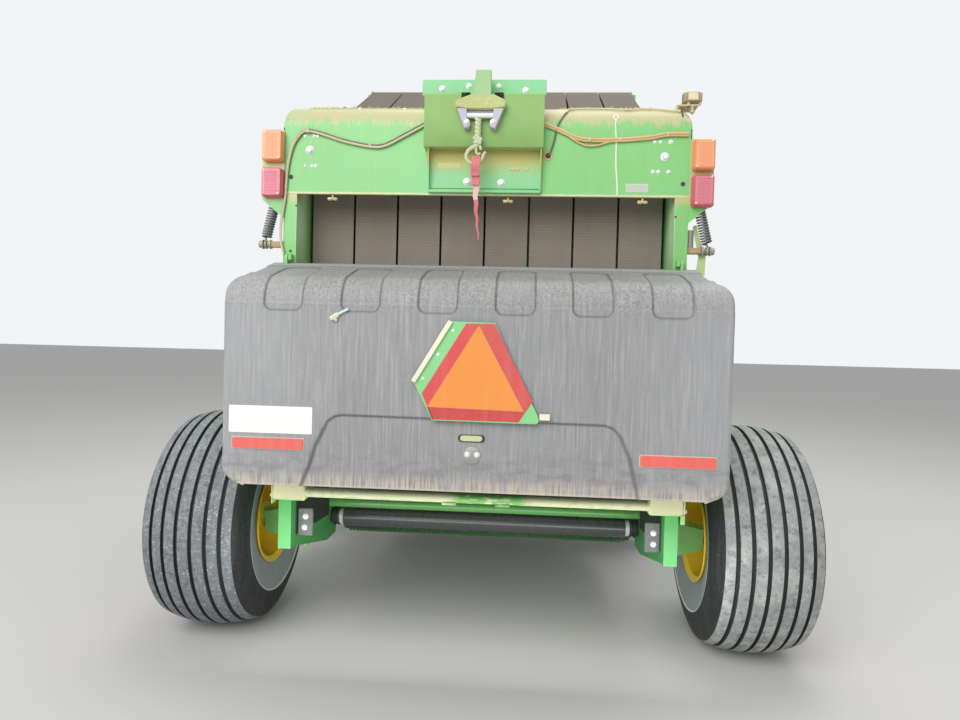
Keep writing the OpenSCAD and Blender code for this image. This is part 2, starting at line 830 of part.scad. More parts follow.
module door(s) {
    side(s) color(green) {
        translate([0, door_front, 0]) rotate([90, 0, 0]) linear_extrude(door_front - door_rear) polygon([
            [940, door_z], [door_x, door_z + 40], [door_x, 2230], [914, 2396], [890, 2396], [890, 2396 - door_t],
            [905, 2396 - door_t], [door_x - door_t, 2222], [door_x - door_t, door_z + 46], [940, door_z + door_t]
        ]);
        translate([0, door_front, 0]) rotate([90, 0, 0]) linear_extrude(12) polygon([
            [870, door_z], [940, door_z], [door_x, door_z + 40], [door_x, 2230], [914, 2396], [870, 2396]
        ]);
        for (y = door_hinge_ys) {
            translate([door_hinge_x, y + 22, door_hinge_z]) difference() {
                union() {
                    rotate([-90, 0, 0]) cylinder(r = 15, h = 14);
                    block([-5, 0, -43], [20, 14, 0]);
                }
                translate([0, -1, 0]) rotate([-90, 0, 0]) cylinder(r = door_pin_r + pin_gap, h = 20);
            }
        }
    }
}

// Pickup

band_n = 29;
band_pitch = 2 * reel_half / (band_n - 1);
band_r = 215;
tine_bars = 4;
tine_circle = 150;
cross_at = [1235, 560];
cross_r = 40;

module pickup_frame() color(green) {
    bar(cross_at, cross_r, -arm_x, arm_x);
    for (s = [-1, 1]) {
        side(s) {
            difference() {
                union() {
                    bar(pickup_pin, 32, ear_out + 1, ear_out + 13);
                    plate([
                        pickup_pin + [-10, -30], pickup_pin + [10, 30], cross_at + [-24, 30], cross_at + [-20, -34]
                    ], ear_out + 1, 12);
                }
                bar(pickup_pin, 15 + pin_gap, outer_x, ear_out + 30);
            }
            difference() {
                plate([
                    cross_at + [-50, -50], cross_at + [-50, 50], [guard_pin[0] - 30, guard_pin[1] + 30],
                    [guard_pin[0] + 30, guard_pin[1] + 30], [reel_y + 240, reel_z + 120], [reel_y + 200, reel_z - 150],
                    [reel_y - 60, reel_z - 215]
                ], arm_x, 8);
                bar([reel_y, reel_z], 25 + pin_gap, arm_x - 1, arm_x + 10);
            }
            bar(guard_pin, 12, arm_x + 8 - eps, arm_x + 36);
            block([arm_x + 8 - eps, 1480, 270], [arm_x + 60, 1530, 420]);
            bar([1500, gauge_r + 90], 15, arm_x + 40, arm_x + 200);
        }
    }
}

// each band wraps the front of the reel and runs back to a strip on the cross tube
band_t = 3;
band_w = 34;
band_cut = 180;
strip_half = 20;

module pickup_bands() color(dark) {
    strip_z = cross_at[1] + cross_r;
    for (i = [0 : band_n - 1]) {
        x = -reel_half + i * band_pitch - band_w / 2;
        translate([x, 0, 0]) rotate([90, 0, 90]) linear_extrude(band_w) difference() {
            translate([reel_y, reel_z]) circle(band_r + band_t, $fn = 72);
            translate([reel_y, reel_z]) circle(band_r, $fn = 72);
            translate([reel_y - 400, reel_z]) square([400, 400]);
            translate([reel_y - band_cut - 400, reel_z - 400]) square(400);
        }
        plate([
            [reel_y + 1, reel_z + band_r], [reel_y + 1, reel_z + band_r + band_t - eps],
            [cross_at[0] + strip_half - 1, strip_z + band_t], [cross_at[0] + strip_half - 1, strip_z]
        ], x, band_w);
    }
    block([-reel_half - band_w / 2, cross_at[0] - strip_half, strip_z],
        [reel_half + band_w / 2, cross_at[0] + strip_half, strip_z + band_t]);
}

module pickup_reel() color(steel) {
    bar([reel_y, reel_z], 25, -arm_x - 8, arm_x + 8);
    for (b = [0 : tine_bars - 1]) {
        translate([0, reel_y, reel_z]) rotate([b * 360 / tine_bars + 20, 0, 0]) {
            translate([-reel_half, 0, tine_circle]) rotate([0, 90, 0]) cylinder(r = 14, h = 2 * reel_half);
            for (i = [0 : band_n - 2]) {
                translate([-reel_half + (i + 0.5) * band_pitch, 0, tine_circle]) cylinder(r = 4, h = reel_r - tine_circle);
            }
        }
    }
    for (x = [-reel_half + 40, 0, reel_half - 40]) {
        bar([reel_y, reel_z], tine_circle, x - 4, x + 4);
    }
}

module gauge_wheel(s) {
    side(s) color(dark) difference() {
        bar([1500, gauge_r + 90], gauge_r, arm_x + 70, arm_x + 180);
        bar([1500, gauge_r + 90], 15 + pin_gap, arm_x, arm_x + 300);
    }
}

guard_at = [1900, 560];

module wind_guard() color(green) {
    bar(guard_at, 24, -arm_x - 24, arm_x + 24);
    for (s = [-1, 1]) {
        side(s) difference() {
            union() {
                bar(guard_pin, 26, arm_x + 12, arm_x + 24);
                plate([
                    [guard_pin[0] - 10, guard_pin[1] + 20], [guard_at[0] + 10, guard_at[1] + 20],
                    [guard_at[0] - 10, guard_at[1] - 20], [guard_pin[0] - 10, guard_pin[1] - 20]
                ], arm_x + 12, 12);
            }
            bar(guard_pin, 12 + pin_gap, arm_x, arm_x + 60);
        }
    }
}

placed() frame_side(-1);  // frame_side_left
placed() frame_side(1);  // frame_side_right
placed() front_beam();
placed() front_panel();
placed() chamber_rollers();
placed() belts_front();
placed() belts_top();
placed() starter_roll();
placed() axle(-1);  // axle_left
placed() axle(1);  // axle_right
placed() drawbar(-1);  // drawbar_left
placed() drawbar(1);  // drawbar_right
placed() hitch_clevis();
placed() jack();
placed() gearbox();
placed() driveshaft();
placed() driveshaft_stand();
placed() gate_side(-1);  // gate_side_left
placed() gate_side(1);  // gate_side_right
placed() gate_hood();
placed() gate_tube();
placed() gate_crossbar();
placed() gate_roller();
placed() gate_belt_rollers();
placed() gate_belts_rear();
placed() gate_belts_top();
placed() lamp_plates();
placed() lamps();
placed() gate_springs();
placed() hoist_bracket();
placed() hoist_head();
placed() hoist_rope();
placed() hoist_hook();
placed() hoist_strap();
placed() hood_cables();
placed() work_light();
placed() net_cover();
placed() sign_plate();
placed() tyre(-1);  // tyre_left
placed() tyre(1);  // tyre_right
placed() rim(-1);  // rim_left
placed() rim(1);  // rim_right
placed() barrel(-1);  // barrel_left
placed() barrel(1);  // barrel_right
placed() rod(-1);  // rod_left
placed() rod(1);  // rod_right
placed() door(-1);  // door_left
placed() door(1);  // door_right
placed() pickup_frame();
placed() pickup_bands();
placed() pickup_reel();
placed() gauge_wheel(-1);  // gauge_wheel_left
placed() gauge_wheel(1);  // gauge_wheel_right
placed() wind_guard();
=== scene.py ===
import math
import random
import bmesh
import bpy
from mathutils import Matrix, Vector


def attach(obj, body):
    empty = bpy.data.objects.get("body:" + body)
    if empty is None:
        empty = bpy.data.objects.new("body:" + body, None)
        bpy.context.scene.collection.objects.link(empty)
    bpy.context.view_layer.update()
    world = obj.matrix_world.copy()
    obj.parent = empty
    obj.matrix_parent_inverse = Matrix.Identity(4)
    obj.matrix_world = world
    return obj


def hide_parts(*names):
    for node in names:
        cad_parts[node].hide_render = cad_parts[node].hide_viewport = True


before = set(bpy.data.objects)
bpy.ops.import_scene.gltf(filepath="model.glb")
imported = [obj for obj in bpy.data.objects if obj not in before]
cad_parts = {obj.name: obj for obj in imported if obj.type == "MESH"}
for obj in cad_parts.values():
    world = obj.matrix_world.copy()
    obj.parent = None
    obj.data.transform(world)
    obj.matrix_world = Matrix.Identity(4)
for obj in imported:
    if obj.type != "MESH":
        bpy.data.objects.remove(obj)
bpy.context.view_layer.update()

# Camera: stands behind the tailgate at standing eye height and looks almost level along the machine.
# Its place, turn and lens come from the widths of the tailgate, the belts and the tyres.
eye_at = Vector((0.1944, -4.6439, 1.3684))
yaw, pitch, roll = (math.radians(a) for a in (-3.859, -1.510, 1.458))
ahead = Vector((math.sin(yaw) * math.cos(pitch), math.cos(yaw) * math.cos(pitch), math.sin(pitch)))
level = Vector((math.cos(yaw), -math.sin(yaw), 0.0))
upright = level.cross(ahead)
to_right = math.cos(roll) * level + math.sin(roll) * upright
to_top = -math.sin(roll) * level + math.cos(roll) * upright
lens_data = bpy.data.cameras.new("camera")
lens_data.sensor_width = 36.0
lens_data.lens = 25.03
lens_data.clip_end = 200.0
camera = bpy.data.objects.new("camera", lens_data)
turn = Matrix((to_right, to_top, -ahead)).transposed().to_4x4()
camera.matrix_world = Matrix.Translation(eye_at) @ turn
bpy.context.scene.collection.objects.link(camera)
bpy.context.scene.camera = camera

# Floor, sky and lamps: a pale studio floor that runs out to a white surround.
# One broad lamp behind the camera and one overhead light it softly; a weak one under the net cover fills the shade.
floor_mesh = bpy.data.meshes.new("floor")
floor_half = 60.0
floor_mesh.from_pydata([(-floor_half, -floor_half, 0), (floor_half, -floor_half, 0),
                        (floor_half, floor_half, 0), (-floor_half, floor_half, 0)], [], [(0, 1, 2, 3)])
floor = bpy.data.objects.new("floor", floor_mesh)
bpy.context.scene.collection.objects.link(floor)
floor_paint = bpy.data.materials.new("studio_floor")
floor_paint.use_nodes = True
floor_shader = floor_paint.node_tree.nodes["Principled BSDF"]
floor_shader.inputs["Base Color"].default_value = (0.66, 0.65, 0.63, 1)
floor_shader.inputs["Roughness"].default_value = 0.9
floor_shader.inputs["Specular IOR Level"].default_value = 0.1
floor_mesh.materials.append(floor_paint)

world = bpy.data.worlds.new("studio")
world.use_nodes = True
bpy.context.scene.world = world
sky = world.node_tree
sky.nodes.clear()
sky_out = sky.nodes.new("ShaderNodeOutputWorld")
sky_back = sky.nodes.new("ShaderNodeBackground")
sky_rays = sky.nodes.new("ShaderNodeLightPath")
sky_range = sky.nodes.new("ShaderNodeMapRange")
sky_range.inputs["To Min"].default_value = 0.55
sky_range.inputs["To Max"].default_value = 0.92
sky.links.new(sky_rays.outputs["Is Camera Ray"], sky_range.inputs["Value"])
sky.links.new(sky_range.outputs["Result"], sky_back.inputs["Strength"])
sky_back.inputs["Color"].default_value = (0.97, 0.98, 1.0, 1)
sky.links.new(sky_back.outputs[0], sky_out.inputs[0])


def lamp(name, place, target, size, power):
    data = bpy.data.lights.new(name, "AREA")
    data.size = size
    data.energy = power
    thing = bpy.data.objects.new(name, data)
    thing.location = place
    thing.rotation_euler = (Vector(target) - Vector(place)).to_track_quat("-Z", "Y").to_euler()
    bpy.context.scene.collection.objects.link(thing)
    return thing


lamp("key_lamp", (-2.5, -8.5, 5.5), (0, -2, 1.2), 6.0, 500)
lamp("top_lamp", (1.5, 0.5, 8.0), (0, 0, 1), 6.0, 260)
low_lamp = lamp("low_lamp", (0, -2.15, 0.40), (0, -1.1, 0.66), 1.9, 4.4)
low_lamp.data.shape = "RECTANGLE"
low_lamp.data.size_y = 0.25
low_lamp.visible_camera = False
bpy.context.scene.view_settings.view_transform = "Standard"

# Main frame: sheet-steel sides, beams, axle arms and drawbar, enamelled green and weathered outdoors.
# Dust lies on every face that looks up and runs down in faint streaks; the sheets keep their CAD shape.


def tint(code):
    def channel(v):
        v = v / 255.0
        return v / 12.92 if v <= 0.04045 else ((v + 0.055) / 1.055) ** 2.4
    return tuple(channel(int(code[i:i + 2], 16)) for i in (0, 2, 4)) + (1.0,)


class Nodes:
    """Puts nodes into one tree and links plain numbers or sockets to their inputs."""

    def __init__(self, tree):
        self.tree = tree

    def put(self, kind, **settings):
        node = self.tree.nodes.new("ShaderNode" + kind)
        for key, value in settings.items():
            setattr(node, key, value)
        return node

    def feed(self, value, socket):
        if hasattr(value, "links"):
            self.tree.links.new(value, socket)
        else:
            socket.default_value = value

    def math(self, kind, a, b=0.0, c=0.0, clamp=False):
        node = self.put("Math", operation=kind, use_clamp=clamp)
        for value, socket in zip((a, b, c), node.inputs):
            self.feed(value, socket)
        return node.outputs[0]

    def ramp(self, value, low, high):
        node = self.put("MapRange", interpolation_type="SMOOTHSTEP")
        self.feed(value, node.inputs["Value"])
        self.feed(low, node.inputs["From Min"])
        self.feed(high, node.inputs["From Max"])
        return node.outputs["Result"]

    def mix(self, factor, a, b):
        node = self.put("Mix", data_type="RGBA")
        self.feed(factor, node.inputs[0])
        self.feed(a, node.inputs[6])
        self.feed(b, node.inputs[7])
        return node.outputs[2]

    def place(self):
        node = self.put("SeparateXYZ")
        self.feed(self.put("TexCoord").outputs["Object"], node.inputs[0])
        return node.outputs

    def noise(self, scale, detail=4.0, stretch=(1.0, 1.0, 1.0)):
        mapping = self.put("Mapping")
        mapping.inputs["Scale"].default_value = stretch
        self.feed(self.put("TexCoord").outputs["Object"], mapping.inputs["Vector"])
        node = self.put("TexNoise")
        self.feed(mapping.outputs[0], node.inputs["Vector"])
        self.feed(scale, node.inputs["Scale"])
        self.feed(detail, node.inputs["Detail"])
        return node.outputs["Fac"]


def weathered_group():
    tree = bpy.data.node_groups.new("weathered_surface", "ShaderNodeTree")
    for label, kind, value in (("Colour", "NodeSocketColor", (0.2, 0.5, 0.2, 1)),
                               ("Dust Colour", "NodeSocketColor", (0.6, 0.55, 0.4, 1)),
                               ("Dust", "NodeSocketFloat", 0.3), ("Mottle", "NodeSocketFloat", 0.2),
                               ("Streak", "NodeSocketFloat", 0.2), ("Speckle", "NodeSocketFloat", 0.2),
                               ("Grain Size", "NodeSocketFloat", 200.0)):
        tree.interface.new_socket(label, in_out="INPUT", socket_type=kind).default_value = value
    tree.interface.new_socket("Colour", in_out="OUTPUT", socket_type="NodeSocketColor")
    tree.interface.new_socket("Dust", in_out="OUTPUT", socket_type="NodeSocketFloat")
    tree.interface.new_socket("Grain", in_out="OUTPUT", socket_type="NodeSocketFloat")
    n = Nodes(tree)
    into, out = tree.nodes.new("NodeGroupInput"), tree.nodes.new("NodeGroupOutput")
    broad = n.noise(2.6, 5.0)
    patches = n.noise(11.0, 6.0)
    streaks = n.noise(1.0, 4.0, (38.0, 38.0, 2.2))
    specks = n.noise(150.0, 3.0)
    split = n.put("SeparateXYZ")
    n.feed(n.put("NewGeometry").outputs["Normal"], split.inputs[0])
    upward = n.math("MULTIPLY_ADD", split.outputs["Z"], 0.7, 0.12, True)
    cloud = n.math("MULTIPLY_ADD", patches, 1.5, -0.1)
    drift = n.math("MULTIPLY", upward, cloud, clamp=True)
    fall = n.math("MULTIPLY", n.math("SUBTRACT", streaks, 0.45, clamp=True), into.outputs["Streak"])
    speck = n.math("MULTIPLY", n.ramp(specks, 0.56, 0.72), into.outputs["Speckle"])
    settled = n.math("MULTIPLY", drift, n.math("MULTIPLY", into.outputs["Dust"], 2.6))
    film = n.math("MULTIPLY", broad, n.math("MULTIPLY", into.outputs["Dust"], 0.5))
    lying = n.math("ADD", settled, film)
    dust = n.math("ADD", lying, n.math("MULTIPLY_ADD", fall, 2.0, speck), clamp=True)
    shade = n.math("MULTIPLY_ADD", n.math("SUBTRACT", broad, 0.5), into.outputs["Mottle"], 1.0)
    darker = n.put("VectorMath", operation="SCALE")
    n.feed(into.outputs["Colour"], darker.inputs[0])
    n.feed(shade, darker.inputs["Scale"])
    n.feed(n.mix(dust, darker.outputs[0], into.outputs["Dust Colour"]), out.inputs["Colour"])
    n.feed(dust, out.inputs["Dust"])
    n.feed(n.noise(into.outputs["Grain Size"], 3.0), out.inputs["Grain"])
    return tree


weathered = weathered_group()


def finish(name, colour, rough=0.45, metal=0.0, dust=0.12, dust_colour="d6d1ae", mottle=0.25, streak=0.12,
           speckle=0.1, grain=0.0008, grain_size=220.0, coat=0.0, paint_over=None, bumps=None, bump_group=None):
    made = bpy.data.materials.new(name)
    made.use_nodes = True
    n = Nodes(made.node_tree)
    shader = made.node_tree.nodes["Principled BSDF"]
    surface = n.put("Group", node_tree=weathered)
    for label, value in (("Colour", tint(colour)), ("Dust Colour", tint(dust_colour)), ("Dust", dust),
                         ("Mottle", mottle), ("Streak", streak), ("Speckle", speckle), ("Grain Size", grain_size)):
        surface.inputs[label].default_value = value
    shown = surface.outputs["Colour"]
    if paint_over:
        shown = paint_over(n, shown)
    n.feed(shown, shader.inputs["Base Color"])
    dull = n.put("MapRange")
    dull.inputs["To Min"].default_value = rough
    dull.inputs["To Max"].default_value = max(rough, 0.85)
    n.feed(surface.outputs["Dust"], dull.inputs["Value"])
    n.feed(dull.outputs["Result"], shader.inputs["Roughness"])
    shader.inputs["Metallic"].default_value = metal
    shader.inputs["Coat Weight"].default_value = coat
    bump = n.put("Bump")
    bump.inputs["Distance"].default_value = grain
    bump.inputs["Strength"].default_value = 0.6
    height = bumps(n, surface) if bumps else surface.outputs["Grain"]
    if bump_group:
        relief = n.put("Group", node_tree=bump_group)
        n.feed(height, relief.inputs["Grain"])
        height = relief.outputs["Height"]
    n.feed(height, bump.inputs["Height"])
    n.feed(bump.outputs["Normal"], shader.inputs["Normal"])
    return made


def wear(made, *nodes):
    for node in nodes:
        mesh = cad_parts[node].data
        mesh.materials.clear()
        mesh.materials.append(made)


enamel = finish("green_enamel", "7dc473", rough=0.34, mottle=0.3, coat=0.25, grain=0.0003)
wear(enamel, "frame_side_left", "frame_side_right", "front_beam", "front_panel", "axle_left", "axle_right",
     "gearbox", "drawbar_left", "drawbar_right", "hitch_clevis", "driveshaft_stand")
wear(finish("tube_green", "68ba5e", rough=0.22, dust=0.05, mottle=0.2, coat=0.5, grain=0.0002), "gate_tube")

# Belts: eight rubber and canvas belts side by side, worn to a brown grey, with painted shade on their top runs.
# Rows of short dashes are moulded into their faces to grip the crop.


def belt_dashes(n, surface=None):
    x, y, z = n.place()
    row = n.math("MULTIPLY", n.math("ADD", y, z), 78.0)
    shift = n.math("MULTIPLY", n.math("MODULO", n.math("FLOOR", row), 2.0), 0.5)
    across = n.math("ABSOLUTE", n.math("SUBTRACT", n.math("FRACT", n.math("MULTIPLY_ADD", x, 105.0, shift)), 0.5))
    along = n.math("ABSOLUTE", n.math("SUBTRACT", n.math("FRACT", row), 0.5))
    dash = n.math("MULTIPLY", n.ramp(across, 0.40, 0.25), n.ramp(along, 0.32, 0.20))
    return n.math("MULTIPLY_ADD", surface.outputs["Grain"], 0.5, dash) if surface else dash


def belt_dirt_and_shade(n, shown):
    z = n.place()["Z"]
    shown = n.mix(n.math("MULTIPLY", belt_dashes(n), 0.35), shown, tint("aaa08e"))
    shown = n.mix(n.math("MULTIPLY", n.noise(1.2, 5.0, (9.0, 1.0, 2.0)), 0.3), shown, tint("5f4f3c"))
    # Painted shade: the belts darken towards their top runs, above z 2.25 m, which lie in shade inside the machine.
    return n.mix(n.math("MULTIPLY", n.ramp(z, 2.25, 2.40), 0.55), shown, tint("3c372e"))


belt_worn_and_shaded = finish("belt_worn_and_shaded", "88817a", rough=0.75, dust=0.22, dust_colour="a08f74", mottle=0.3, streak=0.25,
                   speckle=0.2, grain=0.0012, bumps=belt_dashes, paint_over=belt_dirt_and_shade)
wear(belt_worn_and_shaded, "belts_front", "belts_top", "gate_belts_rear", "gate_belts_top")

# Belt rollers: steel tubes between the side sheets, polished by the belts.
# A thin brown film of dust and rust lies on them.
roller_steel = finish("roller_steel", "8b8880", rough=0.4, metal=0.7, dust=0.15, dust_colour="7a6a55", streak=0.1)
wear(roller_steel, "chamber_rollers", "gate_belt_rollers")

# Gate: folded sheet columns and sides, enamelled in the same green, with a painted highlight high on the columns' inner
# faces and a deeper green low down that is partly painted shade and partly cleaner paint.
# Its hood is one pressed sheet with a dusty rounded top and a pale dust line along its lower edge.
axle_y = -1.481


def hood_dust(n, shown):
    z = n.place()["Z"]
    ragged = n.math("MULTIPLY_ADD", n.noise(1.0, 6.0, (80.0, 50.0, 26.0)), 0.13, z)
    crust = n.math("MULTIPLY", n.ramp(ragged, 2.322, 2.362), n.math("MULTIPLY_ADD", n.noise(130.0), 1.1, 0.25, True))
    shown = n.mix(crust, shown, tint("d2bc94"))
    pale = n.math("MULTIPLY", n.ramp(z, 2.325, 2.356), n.math("MULTIPLY_ADD", n.noise(60.0), 0.6, 0.3, True))
    shown = n.mix(pale, shown, tint("c9cf9c"))
    edge = n.ramp(n.math("MULTIPLY_ADD", n.noise(34.0), -0.008, z), 1.984, 1.976)
    stain = n.math("MULTIPLY", n.ramp(n.noise(3.5, 5.0), 0.42, 0.66), 0.30)
    shown = n.mix(stain, shown, tint("7fd39a"))
    return n.mix(n.math("MULTIPLY", edge, 0.85), shown, tint("e6dcb0"))


def column_dust_and_shading(n, shown):
    x, y, z = n.place()
    # Deeper green below z 0.8 m: partly painted shade under the net cover, partly cleaner paint.
    shown = n.mix(n.math("MULTIPLY", n.ramp(z, 0.80, 0.70), 0.8), shown, tint("45ad57"))
    # Painted highlight: the columns' inner faces turn pale towards the top, where light falls on them; the tan band
    # near the hood is dust.
    inner = n.math("MULTIPLY", n.ramp(n.math("ABSOLUTE", x), 0.787, 0.7855), n.ramp(y, axle_y - 0.20, axle_y - 0.32))
    shown = n.mix(n.math("MULTIPLY", n.math("MULTIPLY", inner, n.ramp(z, 1.55, 1.90)), 0.9), shown, tint("dcffc8"))
    high = n.math("MULTIPLY", n.ramp(n.math("MULTIPLY_ADD", n.noise(30.0, 5.0), 0.05, z), 1.955, 1.990), 0.6)
    return n.mix(n.math("MULTIPLY", high, n.ramp(y, axle_y - 0.30, axle_y - 0.34)), shown, tint("d6c08a"))


gate_enamel = finish("gate_enamel", "7cc873", rough=0.36, dust=0.1, mottle=0.2, coat=0.2, grain=0.0003,
                     paint_over=column_dust_and_shading)
hood_enamel = finish("hood_enamel", "7cc873", rough=0.4, dust=0.1, mottle=0.22, coat=0.15, grain=0.0003,
                     paint_over=hood_dust)
wear(gate_enamel, "gate_side_left", "gate_side_right", "lamp_plates")
hood_y, hood_half, hood_low, hood_top, hood_round, hood_front = -0.389, 0.845, 1.976, 2.362, 0.110, -0.100
hood_arc_y, hood_arc_z = hood_y + hood_round, hood_top - hood_round
end_rounds = (0.028, 0.052)


def over_hood(x, degrees, off=0.0):
    a = math.radians(degrees)
    return x, hood_arc_y - (hood_round + off) * math.cos(a), hood_arc_z + (hood_round + off) * math.sin(a)


class Form:
    """Faces of one piece, in metres, with Y counted from the wheel axle."""

    def __init__(self):
        self.verts = []
        self.faces = []
        self.zones = []

    def add(self, verts, faces, zone=0):
        base = len(self.verts)
        self.verts += [tuple(v) for v in verts]
        self.faces += [tuple(base + i for i in f) for f in faces]
        self.zones += [zone] * len(faces)

    def block(self, low, high, edge=0.002):
        inner = [[low[k] + edge, high[k] - edge] for k in range(3)]
        verts, index = [], {}
        for s in range(8):
            bits = (s & 1, s >> 1 & 1, s >> 2 & 1)
            for a in range(3):
                index[s, a] = len(verts)
                verts.append([(low, high)[bits[k]][k] if k == a else inner[k][bits[k]] for k in range(3)])
        faces = [(index[s, 0], index[s, 1], index[s, 2]) for s in range(8)]
        for a in range(3):
            b, c = 1 << (a + 1) % 3, 1 << (a + 2) % 3
            for end in (0, 1 << a):
                faces.append(tuple(index[end | t, a] for t in (0, b, b | c, c)))
            for t in (0, b, c, b | c):
                s0, s1 = t, t | 1 << a
                p, q = (a + 1) % 3, (a + 2) % 3
                faces.append((index[s0, p], index[s1, p], index[s1, q], index[s0, q]))
        self.add(verts, faces)

    def lathe(self, rings, start, axis, sides=24, zones=None, spin=0.0):
        axis = Vector(axis).normalized()
        u = axis.orthogonal().normalized() if abs(axis.x) < 0.9 else Vector((0, 1, 0))
        v = axis.cross(u)
        verts, rows = [], []
        for along, r in rings:
            centre = Vector(start) + axis * along
            if r < 1e-6:
                rows.append([len(verts)] * sides)
                verts.append(centre)
                continue
            rows.append([len(verts) + j for j in range(sides)])
            for j in range(sides):
                a = spin + j * math.tau / sides
                verts.append(centre + (u * math.cos(a) + v * math.sin(a)) * r)
        for i in range(len(rows) - 1):
            faces = []
            for j in range(sides):
                k = (j + 1) % sides
                quad = [rows[i][j], rows[i][k], rows[i + 1][k], rows[i + 1][j]]
                quad = list(dict.fromkeys(quad))
                if len(quad) > 2:
                    faces.append(quad)
            self.add(verts if i == 0 else [], [], 0)
            base = len(self.verts) - len(verts)
            self.faces += [tuple(base + q for q in f) for f in faces]
            self.zones += [zones[i] if zones else 0] * len(faces)

    def bar(self, a, b, r, sides=24, edge=0.0015, r_end=None):
        a, b = Vector(a), Vector(b)
        long = (b - a).length
        r_end = r if r_end is None else r_end
        self.lathe([(0, 0), (0, r - edge), (edge, r), (long - edge, r_end), (long, r_end - edge), (long, 0)],
                   a, b - a, sides)

    def bolt(self, at, axis, size=0.012):
        head = 0.62 * size
        self.lathe([(0, 0), (0, 1.25 * size), (0.12 * size, 1.25 * size), (0.18 * size, 1.15 * size), (0.18 * size, 0)],
                   at, axis, 20)
        self.lathe([(0.1 * size, 0), (0.1 * size, 0.9 * size), (head, 0.9 * size), (head + 0.15 * size, 0.76 * size),
                    (head + 0.15 * size, 0)], at, axis, 6, spin=at[0] * 9.0)

    def sweep(self, points, r, sides=10, r_end=None):
        points = [Vector(p) for p in points]
        count = len(points)
        verts, faces = [], []
        side = (points[1] - points[0]).orthogonal().normalized()
        for i, p in enumerate(points):
            d = (points[min(i + 1, count - 1)] - points[max(i - 1, 0)]).normalized()
            side = (side - d * side.dot(d)).normalized()
            other = d.cross(side)
            rr = r if r_end is None else r + (r_end - r) * i / (count - 1)
            verts += [p + (side * math.cos(j * math.tau / sides) + other * math.sin(j * math.tau / sides)) * rr
                      for j in range(sides)]
        for i in range(count - 1):
            for j in range(sides):
                k = (j + 1) % sides
                faces.append((i * sides + j, i * sides + k, (i + 1) * sides + k, (i + 1) * sides + j))
        faces += [tuple(range(sides)), tuple((count - 1) * sides + j for j in range(sides))]
        self.add(verts, faces)

    def sheet(self, outline, y, t, edge=0.0, zone=0):
        """Plate in a plane across Y: its rear face at y and its front face at y + t."""
        count = len(outline)
        middle = Vector((sum(p[0] for p in outline) / count, sum(p[1] for p in outline) / count))
        rings = [(y, p) for p in ([Vector(p) + (middle - Vector(p)).normalized() * edge for p in outline],)]
        rings += [(y + edge, outline)] if edge else []
        rings += [(y + t, outline)]
        verts = [(p[0], at, p[1]) for at, ring in rings for p in ring]
        last = (len(rings) - 1) * count
        faces = [tuple(range(count)), tuple(last + i for i in range(count))]
        for row in range(0, last, count):
            faces += [(row + i, row + (i + 1) % count, row + count + (i + 1) % count, row + count + i)
                      for i in range(count)]
        self.add(verts, faces, zone)


def piece(name, form, body, made, smooth=40.0, stands_for=()):
    mesh = bpy.data.meshes.new(name)
    mesh.from_pydata([(x, y + axle_y, z) for x, y, z in form.verts], [], form.faces)
    for paint in made if isinstance(made, list) else [made]:
        mesh.materials.append(paint)
    mesh.polygons.foreach_set("material_index", form.zones)
    tidy = bmesh.new()
    tidy.from_mesh(mesh)
    bmesh.ops.recalc_face_normals(tidy, faces=tidy.faces)
    tidy.to_mesh(mesh)
    tidy.free()
    thing = bpy.data.objects.new(name, mesh)
    bpy.context.scene.collection.objects.link(thing)
    mesh.shade_smooth()
    mesh.set_sharp_from_angle(angle=math.radians(smooth))
    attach(thing, body)
    if stands_for:
        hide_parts(*stands_for)
    return thing


hood_shell = Form()
hood_columns = [(-hood_half + end_rounds[0] + (2 * hood_half - sum(end_rounds)) * i / 40, 0.0) for i in range(41)]
for side, end_round in zip((-1, 1), end_rounds):
    ends = [(side * (hood_half - end_round + end_round * math.sin(math.radians(7.5 * i))),
             end_round * (1 - math.cos(math.radians(7.5 * i)))) for i in range(1, 13)]
    hood_columns = hood_columns + ends if side > 0 else ends[::-1] + hood_columns
hood_rows = []
for x, drop in hood_columns:
    k = (hood_round - drop) / hood_round
    line = [(hood_y + 0.016, hood_low), (hood_y + 0.002, hood_low), (hood_y, hood_low + 0.002)]
    line += [(y, hood_arc_z + (z - hood_arc_z) * k) for _, y, z in (over_hood(x, 7.5 * i) for i in range(13))]
    hood_rows.append([(x, y, z) for y, z in line + [(hood_front, hood_top - drop)]])
rise = len(hood_rows[0])
hood_shell.add([v for row in hood_rows for v in row],
               [(i * rise + j, i * rise + j + 1, (i + 1) * rise + j + 1, (i + 1) * rise + j)
                for i in range(len(hood_rows) - 1) for j in range(rise - 1)])
for row in (hood_rows[0], hood_rows[-1]):
    hood_shell.add(row[1:] + [(row[0][0], hood_front, hood_low)], [tuple(range(rise))])
hood = piece("hood_sheet", hood_shell, "gate", hood_enamel, 30.0, ("gate_hood",))
hood_walls = hood.modifiers.new("hood_walls", "SOLIDIFY")
hood_walls.thickness = 0.004
hood_walls.offset = -1.0

